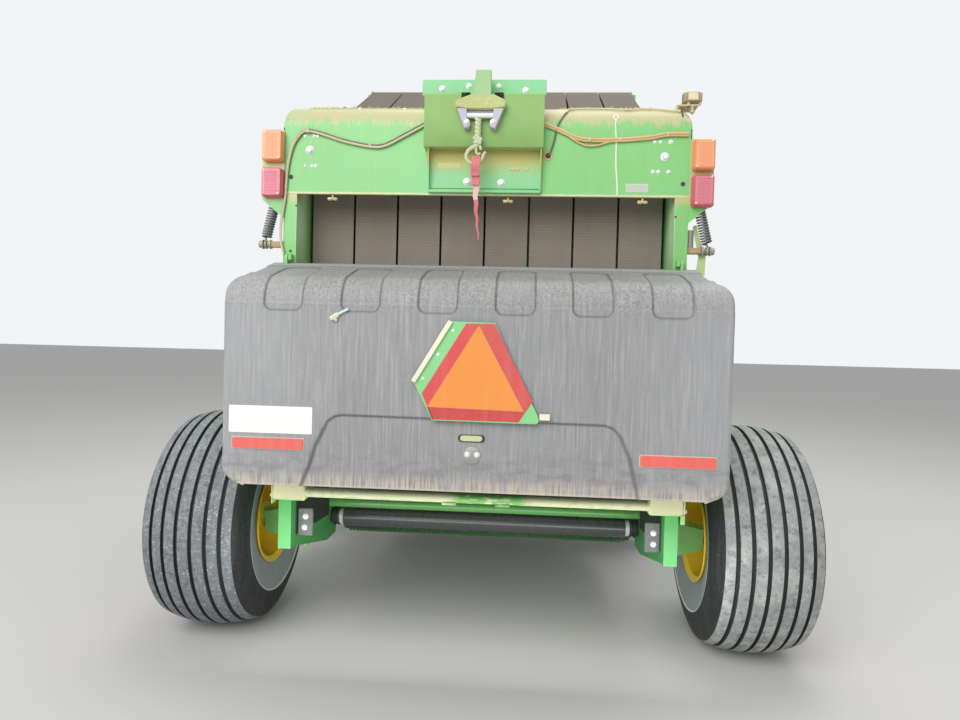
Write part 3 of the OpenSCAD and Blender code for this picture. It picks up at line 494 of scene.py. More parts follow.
# Hood ledge: a flat strip screwed along the hood's top, with a ragged layer of chaff on it.
# Its left end stops short of the hood's rounded corner.
ledge = Form()
ledge.block((-0.765, -0.300, hood_top), (-0.262, -0.215, hood_top + 0.004), 0.0015)
ledge.block((0.300, -0.296, hood_top), (0.742, -0.215, hood_top + 0.003), 0.001)
piece("hood_ledge", ledge, "gate", hood_enamel)
chaff_maker = random.Random(7)
chaff = Form()
for i in range(260):
    x = chaff_maker.choice((chaff_maker.uniform(-0.74, -0.28), chaff_maker.uniform(-0.70, -0.55),
                            chaff_maker.uniform(0.32, 0.70)))
    y, half = chaff_maker.uniform(-0.298, -0.262), chaff_maker.uniform(0.0012, 0.003)
    turn_x, turn_z = chaff_maker.uniform(-0.012, 0.012), chaff_maker.uniform(0.0, 0.008)
    chaff.sweep([(x, y, hood_top + 0.004), (x + turn_x * 0.6, y, hood_top + 0.004 + turn_z * 0.8),
                 (x + turn_x * 1.6, y, hood_top + 0.0045 + turn_z)], half, 4, half * 0.5)
straw = finish("chaff_straw", "cbb78a", rough=0.9, dust=0.1, mottle=0.5)
piece("hood_chaff", chaff, "gate", straw)

# Hood fasteners: zinc bolts that hold the hood to the sides, rubber-sealed holes and two tan cable eyes.
# They sit on the hood's rear face.
to_rear = (0, -1, 0)
zinc = finish("zinc_plate", "e9ecee", rough=0.4, metal=0.15, dust=0.05, speckle=0.05, grain=0.0002)
hood_bolts = Form()
for x, z, size in ((-0.732, 2.159, 0.0145), (0.739, 2.140, 0.0145), (-0.754, 2.217, 0.006), (-0.714, 2.218, 0.006),
                   (-0.700, 2.217, 0.006), (-0.752, 2.092, 0.005), (-0.722, 2.092, 0.006), (-0.706, 2.092, 0.0065),
                   (0.697, 2.200, 0.006), (0.719, 2.200, 0.006), (0.761, 2.200, 0.008), (0.693, 2.079, 0.0065),
                   (0.714, 2.079, 0.0065), (0.755, 2.079, 0.0065), (-0.545, 2.372, 0.005), (-0.350, 2.372, 0.005)):
    on_ledge = z > hood_top
    hood_bolts.bolt((x, -0.302 if on_ledge else hood_y, z - (0.012 if on_ledge else 0.0)), to_rear, size)
piece("hood_bolts", hood_bolts, "gate", zinc)

black_rubber = finish("black_rubber", "26272a", rough=0.6, dust=0.06, speckle=0.06)
hood_grommets = Form()
for x, z, r in ((-0.811, 2.046, 0.009), (0.814, 2.031, 0.009), (0.266, 2.141, 0.011), (-0.808, 1.735, 0.0055),
                (0.811, 1.716, 0.0055), (-0.786, 1.926, 0.004), (0.789, 1.898, 0.004)):
    hood_grommets.lathe([(0, 0), (0, r), (0.0015, r), (0.002, r * 0.8), (0.001, r * 0.55), (0.0005, r * 0.5),
                         (0.0005, 0)], (x, hood_y, z), to_rear, 24)
hood_grommets.sweep([over_hood(0.808, 30 + 4 * i, 0.0004) for i in range(9)], 0.0035, 8)
piece("hood_grommets", hood_grommets, "gate", black_rubber)
cable_eye = Form()
cable_eye.lathe([(0, 0.010), (0.003, 0.012), (0.003, 0.018), (0.001, 0.0195), (0, 0.0195)], (0.266, hood_y, 2.141),
                to_rear, 28)
cable_eye.lathe([(0, 0.006), (0.0012, 0.0065), (0.0012, 0.0085), (0, 0.009)], (0.811, hood_y, 1.898), to_rear, 24)
piece("cable_eye", cable_eye, "gate", finish("eye_tan", "cfa873", rough=0.6, dust=0.15, mottle=0.4))

# Sealant: a white bead drawn down the hood beside a seam, with a loop where the nozzle was lifted off.
# It stands a few millimetres proud of the paint.
sealant = Form()
bead_path = [over_hood(0.537 + 0.0015 * math.sin(i), 22 - 3 * i, 0.001) for i in range(7)]
bead_path += [(0.537 + 0.014 * t + 0.0016 * math.sin(9 * t), hood_y - 0.001, 2.252 - 0.272 * t)
              for t in (j / 14 for j in range(1, 15))]
sealant.sweep(bead_path, 0.0035, 8)
sealant.sweep([over_hood(0.539 + 0.009 * math.sin(math.radians(40 * i)), 27 - 6 * math.cos(math.radians(40 * i)), 0.001)
               for i in range(10)], 0.0032, 8)
piece("hood_sealant", sealant, "gate", finish("sealant_white", "e9ecdc", rough=0.6, dust=0.08))

# Grease fittings: three brass unions that stick out below the hood's lower edge.
# Each has two lobes on a short stem.
unions = Form()
for x, z in ((-0.634, 1.962), (0.106, 1.960), (0.656, 1.962)):
    unions.bar((x, hood_y + 0.012, z + 0.012), (x, hood_y + 0.012, z - 0.002), 0.004, 12)
    unions.bar((x - 0.021, hood_y + 0.012, z - 0.004), (x - 0.003, hood_y + 0.012, z - 0.004), 0.0075, 14, 0.002)
    unions.bar((x + 0.002, hood_y + 0.012, z - 0.004), (x + 0.020, hood_y + 0.012, z - 0.004), 0.0065, 6, 0.002)
    unions.bar((x - 0.004, hood_y + 0.012, z - 0.004), (x + 0.003, hood_y + 0.012, z - 0.004), 0.0045, 12)
piece("hood_unions", unions, "gate", finish("union_brass", "d8bf8c", rough=0.4, metal=0.3, dust=0.15))

# Hood plates: a thin bare plate on a slightly larger pale backing, fixed near the hood's right end.
# Nothing is written on it.


def rounded(x0, z0, x1, z1, r, steps=6):
    corners = ((x1 - r, z1 - r, 0), (x0 + r, z1 - r, 90), (x0 + r, z0 + r, 180), (x1 - r, z0 + r, 270))
    return [(cx + r * math.cos(math.radians(a + 90 * i / steps)), cz + r * math.sin(math.radians(a + 90 * i / steps)))
            for cx, cz, a in corners for i in range(steps + 1)]


def inset(box, by, r):
    x0, z0, x1, z1 = box
    return rounded(x0 + by, z0 + by, x1 - by, z1 - by, r)


blank_plate = Form()
blank_plate.sheet(rounded(0.586, 1.996, 0.675, 2.030, 0.004), hood_y - 0.0012, 0.0012, 0.0004)
blank_field = Form()
blank_field.sheet(rounded(0.590, 2.000, 0.671, 2.026, 0.002), hood_y - 0.0016, 0.0006)
piece("hood_plate_field", blank_field, "gate", finish("plate_grey", "b9c4b4", rough=0.4, mottle=0.4))
pale_plate = finish("pale_plate", "cdcfc8", rough=0.4, dust=0.05)
piece("hood_plate", blank_plate, "gate", pale_plate)

# Lamps: an amber lamp over a red one on each wing plate.
# Each is one moulded lens with cross ribs on its face, held by two screws.
wing_y = -0.394
amber = finish("amber_lens", "f0955c", rough=0.16, dust=0.05, mottle=0.35, speckle=0.04, coat=0.6, grain=0.0003)
amber_face = finish("amber_face", "f5aa7c", rough=0.3, dust=0.12, dust_colour="f4c8a4", mottle=0.3, streak=0.25,
                    speckle=0.12, coat=0.3, grain=0.0005)
red = finish("red_lens", "cf5a66", rough=0.16, dust=0.05, mottle=0.35, speckle=0.04, coat=0.6, grain=0.0003)
red_face = finish("red_face", "dc808e", rough=0.3, dust=0.12, dust_colour="e8a8b0", mottle=0.3, streak=0.25,
                  speckle=0.12, coat=0.3, grain=0.0005)
screws = Form()
for name, mades, lamps_at in (("amber_lamps", [amber, amber_face], ((-0.927, 2.104, -0.838, 2.235),
                                                                    (0.844, 2.081, 0.932, 2.206))),
                              ("red_lamps", [red, red_face], ((-0.927, 1.955, -0.838, 2.078),
                                                              (0.844, 1.934, 0.932, 2.064)))):
    lens = Form()
    for x0, z0, x1, z1 in lamps_at:
        lens.sheet(rounded(x0, z0, x1, z1, 0.012), wing_y - 0.024, 0.024, 0.003)
        lens.sheet(inset((x0, z0, x1, z1), 0.003, 0.010), wing_y - 0.037, 0.014, 0.005)
        lens.sheet(inset((x0, z0, x1, z1), 0.010, 0.007), wing_y - 0.0385, 0.003, 0.0012, 1)
        rows = 15
        for i in range(rows):
            z = z0 + 0.018 + (z1 - z0 - 0.036) * i / (rows - 1)
            lens.lathe([(0, 0), (0.0015, 0.0021), (x1 - x0 - 0.0335, 0.0021), (x1 - x0 - 0.032, 0)],
                       (x0 + 0.016, wing_y - 0.0382, z), (1, 0, 0), 8, [1] * 3)
        left_side = x0 < 0
        for x, z in ((x0 + 0.014, z0 + 0.012), (x1 - 0.014, z1 - 0.012)):
            screws.bolt((x if not left_side else x0 + x1 - x, wing_y - 0.0385, z), to_rear, 0.0032)
    piece(name, lens, "gate", mades, stands_for=("lamps",) if name == "amber_lamps" else ())
piece("lamp_screws", screws, "gate", zinc)

# Cover springs: black coil springs that run from the hood's underside out to pins on the columns.
# Hooked ends hold them; washers and rusty spacers keep the hooks on the pins.
pin_y, pin_z, pin_x = -0.360, 1.765, 0.924
hook_r, coil_r = 0.0150, 0.0185
springs, spring_spacers, spring_bolts = Form(), Form(), Form()
for side in (-1, 1):
    low = Vector((side * pin_x, pin_y, pin_z + 0.032))
    high = Vector((side * 0.887, pin_y, 1.948))
    along = (high - low).normalized()
    outward = along.cross(Vector((0, 1, 0))).normalized()
    turns, per_turn = 14, 14
    path = [low - along * 0.016, low - along * 0.006]
    for i in range(turns * per_turn + 1):
        angle = math.tau * i / per_turn
        path.append(low.lerp(high, i / (turns * per_turn))
                    + (outward * math.cos(angle) + Vector((0, 1, 0)) * math.sin(angle)) * coil_r)
    path += [high + along * 0.008, Vector((side * 0.884, pin_y, 1.962))]
    springs.sweep(path, 0.0041, 8)
    hook_angles = [math.radians(a) for a in range(0, 331, 15)]
    spring_bolts.sweep([(side * pin_x, pin_y + hook_r * math.sin(a), pin_z + hook_r * math.cos(a))
                        for a in hook_angles], 0.0048, 8)
    a, b = sorted((side * 0.846, side * 0.900))
    springs.block((a, pin_y - 0.013, 1.962), (b, pin_y + 0.013, 1.973))
    for a, b, r in ((0.898, 0.954, 0.0105), (0.900, 0.910, 0.019), (0.934, 0.941, 0.020), (0.941, 0.954, 0.0155)):
        spring_bolts.bar((side * a, pin_y, pin_z), (side * b, pin_y, pin_z), r, 6 if r < 0.015 else 20)
    a, b = sorted((side * 0.842, side * 0.899))
    spring_spacers.block((a, pin_y - 0.016, pin_z - 0.013), (b, pin_y + 0.014, pin_z + 0.012), 0.003)
spring_bolts.bar((0.8585, -0.344, 1.772), (0.8585, -0.344, 1.851), 0.0155, 24)
strut = Form()
strut.sheet([(0.870, 1.868), (0.884, 1.875), (0.907, 1.790), (0.926, 1.745), (0.924, 1.668), (0.886, 1.668),
             (0.897, 1.742)], -0.344, 0.004, 0.0008)
piece("spring_strut", strut, "gate", finish("strut_green", "b5d68c", rough=0.5, dust=0.2, mottle=0.4))
spring_dusty = finish("spring_dusty", "6c7072", rough=0.55, dust=0.25, dust_colour="a09b8c")
piece("cover_springs", springs, "gate", spring_dusty, stands_for=("gate_springs",))
rusty = finish("rusty_spacer", "b18f6a", rough=0.8, dust=0.2, mottle=0.5, speckle=0.4)
piece("spring_spacers", spring_spacers, "gate", rusty)
piece("spring_bolts", spring_bolts, "gate", finish("dull_zinc", "a9a498", rough=0.5, metal=0.4, dust=0.2))

# Hoist bracket: a folded box and a recessed panel bolted to the hood, with a rounded flange on top.
# Grain dust has settled on it and turned its front olive.


def olive_dust(n, shown):
    z = n.place()["Z"]
    soft_z = n.math("MULTIPLY_ADD", n.noise(20.0, 5.0), 0.03, z)
    on_box = n.math("MULTIPLY", n.ramp(z, 2.158, 2.164), n.ramp(soft_z, 2.412, 2.402))
    on_panel = n.math("MULTIPLY", n.ramp(soft_z, 2.055, 2.150), n.ramp(z, 2.163, 2.158))
    cloud = n.math("MULTIPLY_ADD", n.noise(14.0, 6.0), 0.5, 0.55, True)
    shown = n.mix(n.math("MULTIPLY", on_box, cloud), shown, tint("86a850"))
    return n.mix(n.math("MULTIPLY", on_panel, cloud), shown, tint("c2ab58"))


olive_enamel = finish("olive_enamel", "84cf93", rough=0.5, dust=0.12, mottle=0.25, grain=0.0004, paint_over=olive_dust)
bracket = Form()
bracket.sheet(rounded(-0.259, 2.380, 0.253, 2.449, 0.008), hood_y - 0.006, 0.006, 0.0015)
front, rear = -0.451, hood_y
box_side = [(rear, 2.394), (front + 0.006, 2.374), (front, 2.366), (front, 2.166), (front + 0.004, 2.160),
            (rear, 2.160)]
x0, x1 = -0.241, 0.245
count = len(box_side)
bracket.add([(x0, y, z) for y, z in box_side] + [(x1, y, z) for y, z in box_side],
            [tuple(range(count)), tuple(count + i for i in range(count))]
            + [(i, (i + 1) % count, count + (i + 1) % count, count + i) for i in range(count)])
bracket.block((-0.222, hood_y - 0.004, 2.004), (0.236, hood_y, 2.166), 0.001)
for x in (-0.226, 0.234):
    cheek = [(rear, 2.162), (front + 0.012, 2.162), (hood_y - 0.020, 1.992), (rear, 1.984)]
    bracket.add([(x, y, z) for y, z in cheek] + [(x + 0.005, y, z) for y, z in cheek],
                [(0, 1, 2, 3), (4, 5, 6, 7), (0, 1, 5, 4), (1, 2, 6, 5), (2, 3, 7, 6), (3, 0, 4, 7)])
bracket.block((-0.226, hood_y - 0.020, 1.984), (0.239, hood_y, 1.996), 0.002)
piece("hoist_box", bracket, "gate", olive_enamel, stands_for=("hoist_bracket",))
hoist_bolts = Form()
for x, y, z, size in ((-0.176, -0.395, 2.412, 0.011), (-0.066, -0.395, 2.422, 0.010), (0.057, -0.395, 2.421, 0.010),
                      (0.168, -0.395, 2.405, 0.011), (-0.065, -0.393, 2.032, 0.013), (0.076, -0.393, 2.028, 0.013)):
    hoist_bolts.bolt((x, y, z), to_rear, size)
piece("hoist_bolts", hoist_bolts, "gate", zinc)
hoist_slots = Form()
for x in (-0.090, 0.044):
    hoist_slots.block((x, -0.4585, 2.350), (x + 0.036, -0.436, 2.374), 0.001)
piece("hoist_slots", hoist_slots, "gate", finish("slot_black", "08080a", rough=0.9, dust=0.0))
recess_bits = Form()
for x, r in ((0.116, 0.0055), (0.128, 0.0075), (0.143, 0.0075), (0.180, 0.0075)):
    recess_bits.lathe([(0, 0), (0, r), (0.002, r), (0.003, r * 0.7), (0.003, 0)], (x, -0.393, 2.085), to_rear, 16)
recess_bits.block((-0.188, -0.3938, 2.087), (-0.093, -0.392, 2.108), 0.0004)
piece("recess_fittings", recess_bits, "gate", finish("fitting_tan", "cdbf86", rough=0.6, dust=0.15))

# Hoist head: a cast fairlead with a post over the flange, two slanted cheeks and a bright roller.
# Dust and rust colour the casting; bolts hold the cheeks.
cast = finish("dusty_cast_iron", "b7bf84", rough=0.8, dust=0.3, dust_colour="d6d78f", mottle=0.4, speckle=0.9,
              grain=0.003, grain_size=160.0)
post_cast = finish("minty_post", "9cc793", rough=0.6, dust=0.25, dust_colour="bcc78c", mottle=0.3, speckle=0.5)
head, post = Form(), Form()
head_y, head_t = -0.485, 0.034
post.sheet([(-0.030, 2.455), (-0.042, 2.344), (0.032, 2.344), (0.029, 2.455)], head_y, head_t + 0.006, 0.003)
piece("hoist_post", post, "gate", post_cast)
head.sheet([(-0.050, 2.356), (0.042, 2.356), (0.080, 2.339), (0.091, 2.326), (0.088, 2.306), (0.040, 2.299),
            (-0.060, 2.299), (-0.109, 2.306), (-0.113, 2.324), (-0.102, 2.337)], head_y - 0.004, head_t + 0.004, 0.005)
piece("hoist_head_cap", head, "gate", cast, stands_for=("hoist_head",))
cheeks = Form()
head_x = -0.0115
cheek_line = [(0.095, 2.304), (0.054, 2.304), (0.050, 2.262), (0.036, 2.240), (0.044, 2.226), (0.062, 2.222),
              (0.070, 2.238)]
for way in (-1, 1):
    cheeks.sheet([(head_x + way * out, z) for out, z in cheek_line], head_y, head_t, 0.004)
cheeks.bar((-0.070, -0.462, 2.293), (0.050, -0.462, 2.293), 0.006, 12)
grey_cast = finish("grey_cast_iron", "bbb8c8", rough=0.6, metal=0.1, dust=0.15, mottle=0.3, grain=0.0015)
piece("hoist_cheeks", cheeks, "gate", grey_cast)
fairlead = Form()
fairlead.bar((-0.066, -0.473, 2.276), (0.046, -0.473, 2.276), 0.0105, 24)
fairlead.bolt((-0.063, head_y, 2.248), to_rear, 0.009)
fairlead.bolt((0.041, head_y, 2.248), to_rear, 0.009)
piece("hoist_fairlead", fairlead, "gate", zinc)

# Hoist rope and hook: a laid rope of two thick strands, its crimped ferrule and an open steel hook.
# The hook carries the strap.
rope_x, rope_y = -0.019, -0.473
rope_tan = finish("rope_fibre", "cdd3ae", rough=0.9, dust=0.2, mottle=0.4, speckle=0.3, grain=0.0015, grain_size=400.0)
rope = Form()
lay_r, strand_r, twist = 0.0065, 0.0075, 0.42
for phase in (0.0, math.pi):
    rope.sweep([(rope_x + lay_r * math.cos(phase + t * twist), rope_y + lay_r * math.sin(phase + t * twist),
                 2.264 - 0.0022 * t) for t in range(41)], strand_r, 8)
piece("hoist_laid_rope", rope, "gate", rope_tan, stands_for=("hoist_rope",))
hook = Form()
hook.bar((rope_x, rope_y, 2.186), (rope_x, rope_y, 2.162), 0.0125, 16)
for x, z, r in ((-0.012, 2.184, 0.008), (0.011, 2.180, 0.009), (-0.009, 2.168, 0.008), (0.010, 2.166, 0.007)):
    hook.bar((rope_x + x, rope_y - 0.013, z), (rope_x + x, rope_y + 0.010, z), r, 12, 0.003)
hook_line = [(0.004, 2.166), (-0.006, 2.156), (-0.022, 2.148), (-0.037, 2.136), (-0.045, 2.120), (-0.044, 2.104),
             (-0.034, 2.091), (-0.018, 2.084), (0.000, 2.085), (0.014, 2.094), (0.022, 2.108), (0.025, 2.121),
             (0.033, 2.132)]
hook.sweep([(rope_x + x, rope_y, z) for x, z in hook_line], 0.0095, 12, 0.0055)
hook.sweep([(rope_x + 0.004 + 0.010 * math.cos(a * 0.7), rope_y, 2.140 + 0.020 * math.sin(a * 0.7))
            for a in range(9)], 0.0055, 10)
hook_pale = finish("hook_pale", "c3cba4", rough=0.5, dust=0.2, mottle=0.4, speckle=0.4)
piece("hoist_open_hook", hook, "gate", hook_pale, stands_for=("hoist_hook",))

# Hoist strap: faded red webbing folded over the hook and stitched, with a paler tail and a narrow red tip.
# Its face shows the ribs of the weave.


def web_ribs_group():
    tree = bpy.data.node_groups.new("web_ribs", "ShaderNodeTree")
    tree.interface.new_socket("Grain", in_out="INPUT", socket_type="NodeSocketFloat")
    tree.interface.new_socket("Height", in_out="OUTPUT", socket_type="NodeSocketFloat")
    n = Nodes(tree)
    into, out = tree.nodes.new("NodeGroupInput"), tree.nodes.new("NodeGroupOutput")
    ribs = n.math("SINE", n.math("MULTIPLY", n.place()["Z"], 2600.0))
    n.feed(n.math("ADD", ribs, into.outputs["Grain"]), out.inputs["Height"])
    return tree


web_ribs = web_ribs_group()
webbing = finish("red_webbing_faded", "d9707a", rough=0.85, dust=0.15, dust_colour="f0d8cc", mottle=0.4, streak=0.2,
                 grain=0.0006, bump_group=web_ribs)
pale_web = finish("pale_webbing", "e5bfb2", rough=0.85, dust=0.2, dust_colour="f0e4d8", mottle=0.4, grain=0.0006,
                  bump_group=web_ribs)
strap, tail, narrow_tail = Form(), Form(), Form()


def ribbon(form, line, halves, thick):
    verts, faces = [], []
    for (x, y, z), half in zip(line, halves):
        verts += [(x + a * half, y + b * thick, z) for a, b in ((-1, -1), (1, -1), (1, 1), (-1, 1))]
    for i in range(len(line) - 1):
        faces += [(4 * i + j, 4 * i + (j + 1) % 4, 4 * i + 4 + (j + 1) % 4, 4 * i + 4 + j) for j in range(4)]
    faces += [(0, 1, 2, 3), tuple(4 * (len(line) - 1) + j for j in range(4))]
    form.add(verts, faces)


strap_x = -0.024
ribbon(strap, [(strap_x + 0.002 * math.sin(t * 0.5), rope_y - 0.012 + 0.004 * math.cos(t * 0.4), 2.112 - 0.0055 * t)
               for t in range(22)], [0.0165] * 22, 0.0035)
strap.block((strap_x - 0.0175, rope_y - 0.019, 2.030), (strap_x + 0.0175, rope_y - 0.004, 2.044), 0.003)
tail_line = [(strap_x + 0.003 + 0.00002 * t * t + 0.002 * math.sin(t * 0.8), rope_y - 0.010 + 0.004 * math.cos(t * 0.3),
              1.998 - 0.0076 * t) for t in range(30)]
ribbon(tail, tail_line[:9], [0.0135 - 0.0006 * t for t in range(9)], 0.0026)
ribbon(narrow_tail, tail_line[8:], [0.0092 - 0.00036 * t for t in range(22)], 0.0022)
piece("hoist_strap_loop", strap, "gate", webbing, stands_for=("hoist_strap",))
piece("hoist_strap_tail", tail, "gate", pale_web)
piece("hoist_strap_end", narrow_tail, "gate", webbing)

# Hood cables: sheathed cables that sag between clips along the hood, tan on the right and grey on the left.
# A thin cable climbs from its eye to the work light along the hood's top edge.


def cable_curve(points, parts):
    line = []
    for i in range(len(points) - 1):
        a, b, c, d = (Vector(points[min(max(k, 0), len(points) - 1)]) for k in (i - 1, i, i + 1, i + 2))
        for t in (j / parts for j in range(parts)):
            line.append((2 * b + (c - a) * t + (2 * a - 5 * b + 4 * c - d) * t * t
                         + (3 * b - a - 3 * c + d) * t ** 3) / 2)
    return line + [Vector(points[-1])]


cable_y = hood_y - 0.008
left_run = [(-0.834, 1.722), (-0.846, 1.775), (-0.847, 1.850), (-0.832, 1.960), (-0.829, 2.002), (-0.822, 2.094),
            (-0.802, 2.177), (-0.769, 2.227), (-0.739, 2.238), (-0.688, 2.228), (-0.581, 2.195), (-0.474, 2.175),
            (-0.411, 2.179), (-0.328, 2.221), (-0.248, 2.264)]
right_run = [(0.251, 2.267), (0.311, 2.244), (0.373, 2.216), (0.434, 2.206), (0.555, 2.207), (0.675, 2.217),
             (0.746, 2.230), (0.828, 2.230)]
loose_run = [(0.330, 2.232), (0.370, 2.204), (0.405, 2.186), (0.435, 2.180), (0.470, 2.184), (0.520, 2.200)]
left_cable, right_cable, dark_cable, clips = Form(), Form(), Form(), Form()
for cable, run, (dx, dy, dz), r, sides in (
        (left_cable, left_run, (0.0005, -0.002, -0.0035), 0.0050, 8),
        (left_cable, left_run[5:9], (-0.0030, 0.0, 0.0060), 0.0032, 8),
        (dark_cable, left_run[8:], (-0.0020, 0.002, 0.0048), 0.0046, 8),
        (dark_cable, left_run[:9], (-0.0035, 0.004, 0.0010), 0.0042, 8),
        (right_cable, right_run, (0.0, -0.001, 0.002), 0.0056, 10),
        (right_cable, right_run, (0.0, 0.0, -0.007), 0.0040, 8),
        (right_cable, loose_run, (0.0, 0.0, 0.0), 0.0036, 8)):
    cable.sweep(cable_curve([(x + dx, cable_y + dy, z + dz) for x, z in run], 8), r, sides)
light_run = [(0.270, cable_y, 2.138), (0.288, cable_y, 2.200), over_hood(0.298, 0, 0.008), over_hood(0.316, 20, 0.006),
             over_hood(0.338, 40, 0.005), over_hood(0.361, 55, 0.005), over_hood(0.476, 60, 0.005),
             over_hood(0.583, 53, 0.005), over_hood(0.681, 59, 0.005), over_hood(0.755, 50, 0.005),
             over_hood(0.797, 47, 0.003)]
light_line = cable_curve(light_run, 8)
dark_cable.sweep(light_line[:33], 0.0034, 8)
pale_cable = Form()
pale_cable.sweep(light_line[32:], 0.0038, 8)
piece("hood_cable_light", pale_cable, "gate", finish("cable_pale", "d3c8a0", rough=0.7, dust=0.2, mottle=0.4))
for x, z in ((-0.739, 2.236), (-0.474, 2.175), (-0.829, 2.002), (0.555, 2.207), (0.434, 2.206), (0.746, 2.228)):
    clips.block((x - 0.0045, cable_y - 0.0075, z - 0.0085), (x + 0.0045, hood_y, z + 0.0085), 0.0015)
for x, degrees in ((0.361, 55), (0.583, 53), (0.600, 54), (0.681, 59), (0.797, 47)):
    at = over_hood(x, degrees, 0.004)
    clips.block((at[0] - 0.005, at[1] - 0.006, at[2] - 0.006), (at[0] + 0.005, at[1] + 0.006, at[2] + 0.007), 0.002)
piece("hood_cable_left", left_cable, "gate",
      finish("cable_grey_tan", "cdc3a2", rough=0.7, dust=0.2, mottle=0.4, speckle=0.2), stands_for=("hood_cables",))
piece("hood_cable_right", right_cable, "gate", finish("cable_tan", "dab27c", rough=0.7, dust=0.15, mottle=0.4))
piece("hood_cable_dark", dark_cable, "gate", finish("cable_dark", "57564c", rough=0.6, dust=0.15))
piece("hood_clips", clips, "gate", finish("clip_tan", "cfc09c", rough=0.6, dust=0.15))

# Work light: a finned rectangular housing with a cream lens, held over the hood's right end.
# A bent pipe bracket and a knurled knob carry it.
light_x, light_y, light_z = 0.854, -0.325, 2.399
work_light = Form()
work_light.block((light_x - 0.038, light_y - 0.020, light_z - 0.020),
                 (light_x + 0.038, light_y + 0.020, light_z + 0.020), 0.005)
work_light.block((light_x - 0.026, light_y - 0.026, light_z - 0.019),
                 (light_x + 0.024, light_y - 0.018, light_z + 0.019), 0.003)
for i in range(7):
    work_light.block((light_x - 0.036 + 0.0117 * i, light_y - 0.006, light_z - 0.021),
                     (light_x - 0.0335 + 0.0117 * i, light_y + 0.026, light_z + 0.021), 0.0006)
piece("work_light_housing", work_light, "gate",
      finish("lamp_housing", "a49a7c", rough=0.5, metal=0.2, dust=0.2, mottle=0.5), stands_for=("work_light",))
work_lens = Form()
work_lens.sheet(rounded(light_x - 0.021, light_z - 0.015, light_x + 0.019, light_z + 0.015, 0.004),
                light_y - 0.0275, 0.003, 0.001)
cream_lens = finish("cream_lens", "efdcb4", rough=0.2, dust=0.1, mottle=0.3, coat=0.5)
piece("work_light_lens", work_lens, "gate", cream_lens)
arm = Form()
arm.sweep(cable_curve([over_hood(0.789, 50, 0.004), (0.789, -0.334, 2.358), (0.798, -0.334, 2.3665),
                       (0.830, -0.334, 2.367), (0.878, -0.334, 2.368), (0.885, -0.334, 2.374),
                       (0.886, -0.334, 2.384)], 6), 0.0045, 10)
arm.bar((light_x, -0.334, 2.372), (light_x, -0.334, 2.330), 0.005, 12)
arm.bar((light_x, -0.334, 2.347), (light_x, -0.334, 2.336), 0.010, 10)
arm.bar((0.838, -0.334, 2.362), (0.838, -0.334, 2.380), 0.007, 12)
arm.block((0.800, -0.340, hood_top), (0.878, -0.262, hood_top + 0.003), 0.001)
piece("work_light_bracket", arm, "gate", finish("bracket_dusty", "c9b892", rough=0.5, dust=0.2, mottle=0.4))

# Net cover: one vacuum-formed shell of grey plastic with a rounded bend and a sloping top.
# Six shallow slots run over the bend, and a raised step frames its lower panel; painted shadow darkens the steps and
# slot edges.
cover_half, cover_low, cover_back = 0.945, 0.812, -0.721
bend_z, bend_r, lip = 1.5, 0.12, (-0.397, 1.684)
bend_end = math.radians(74.0)
bend_from = (cover_back + bend_r, bend_z)
shoulder_x, shoulder_z, top_round, low_round = 0.890, 1.626, 0.055, 0.075
top_tall = 0.090
slot_xs = (-0.714, -0.42, -0.132, 0.154, 0.436, 0.722)
slot_w, slot_depth, panel_depth, edge_round = 0.145, 0.0045, 0.007, 0.022
slot_corner, coarse, straight_x = 0.030, 0.013, 0.80


def cover_path(s):
    straight = bend_z - cover_low
    if s <= straight:
        return cover_back, cover_low + s, -1.0, 0.0
    arc = bend_r * bend_end
    if s <= straight + arc:
        a = (s - straight) / bend_r
        return bend_from[0] - bend_r * math.cos(a), bend_z + bend_r * math.sin(a), -math.cos(a), math.sin(a)
    y, z = bend_from[0] - bend_r * math.cos(bend_end), bend_z + bend_r * math.sin(bend_end)
    slope = Vector((lip[0] - y, lip[1] - z))
    t = min((s - straight - arc) / slope.length, 1.0)
    slope_n = Vector((-slope.y, slope.x)).normalized()
    return y + (lip[0] - y) * t, z + (lip[1] - z) * t, slope_n.x, slope_n.y


def cover_width(z):
    high, low = shoulder_z - top_tall, cover_low + low_round
    if z > high:
        return shoulder_x + top_round * math.sqrt(max(1 - (min(z - high, top_tall) / top_tall) ** 2, 0))
    if z < low:
        return cover_half - low_round + math.sqrt(max(low_round ** 2 - (low - z) ** 2, 0))
    return cover_half


def edge_distance(x, z):
    x = abs(x)
    high, low = shoulder_z - top_tall, cover_low + low_round
    if z > shoulder_z:
        return shoulder_x - x
    if z > high and x > shoulder_x:
        return top_round * (1 - math.hypot((x - shoulder_x) / top_round, (z - high) / top_tall))
    if z < low and x > cover_half - low_round:
        return low_round - math.hypot(x - cover_half + low_round, z - low)
    return cover_half - x


def rounded_distance(x, s, cx, cs, half_x, half_s, r):
    dx, ds = abs(x - cx) - half_x + r, abs(s - cs) - half_s + r
    return min(max(dx, ds), 0) + math.hypot(max(dx, 0), max(ds, 0)) - r


panel_line = [(-0.64, 0.78), (-0.64, 0.80), (-0.60, 0.90), (-0.582, 0.964), (-0.536, 1.059), (-0.51, 1.078),
              (-0.483, 1.084), (0.49, 1.077), (0.522, 1.066), (0.549, 1.037), (0.584, 0.954), (0.62, 0.80),
              (0.62, 0.78)]


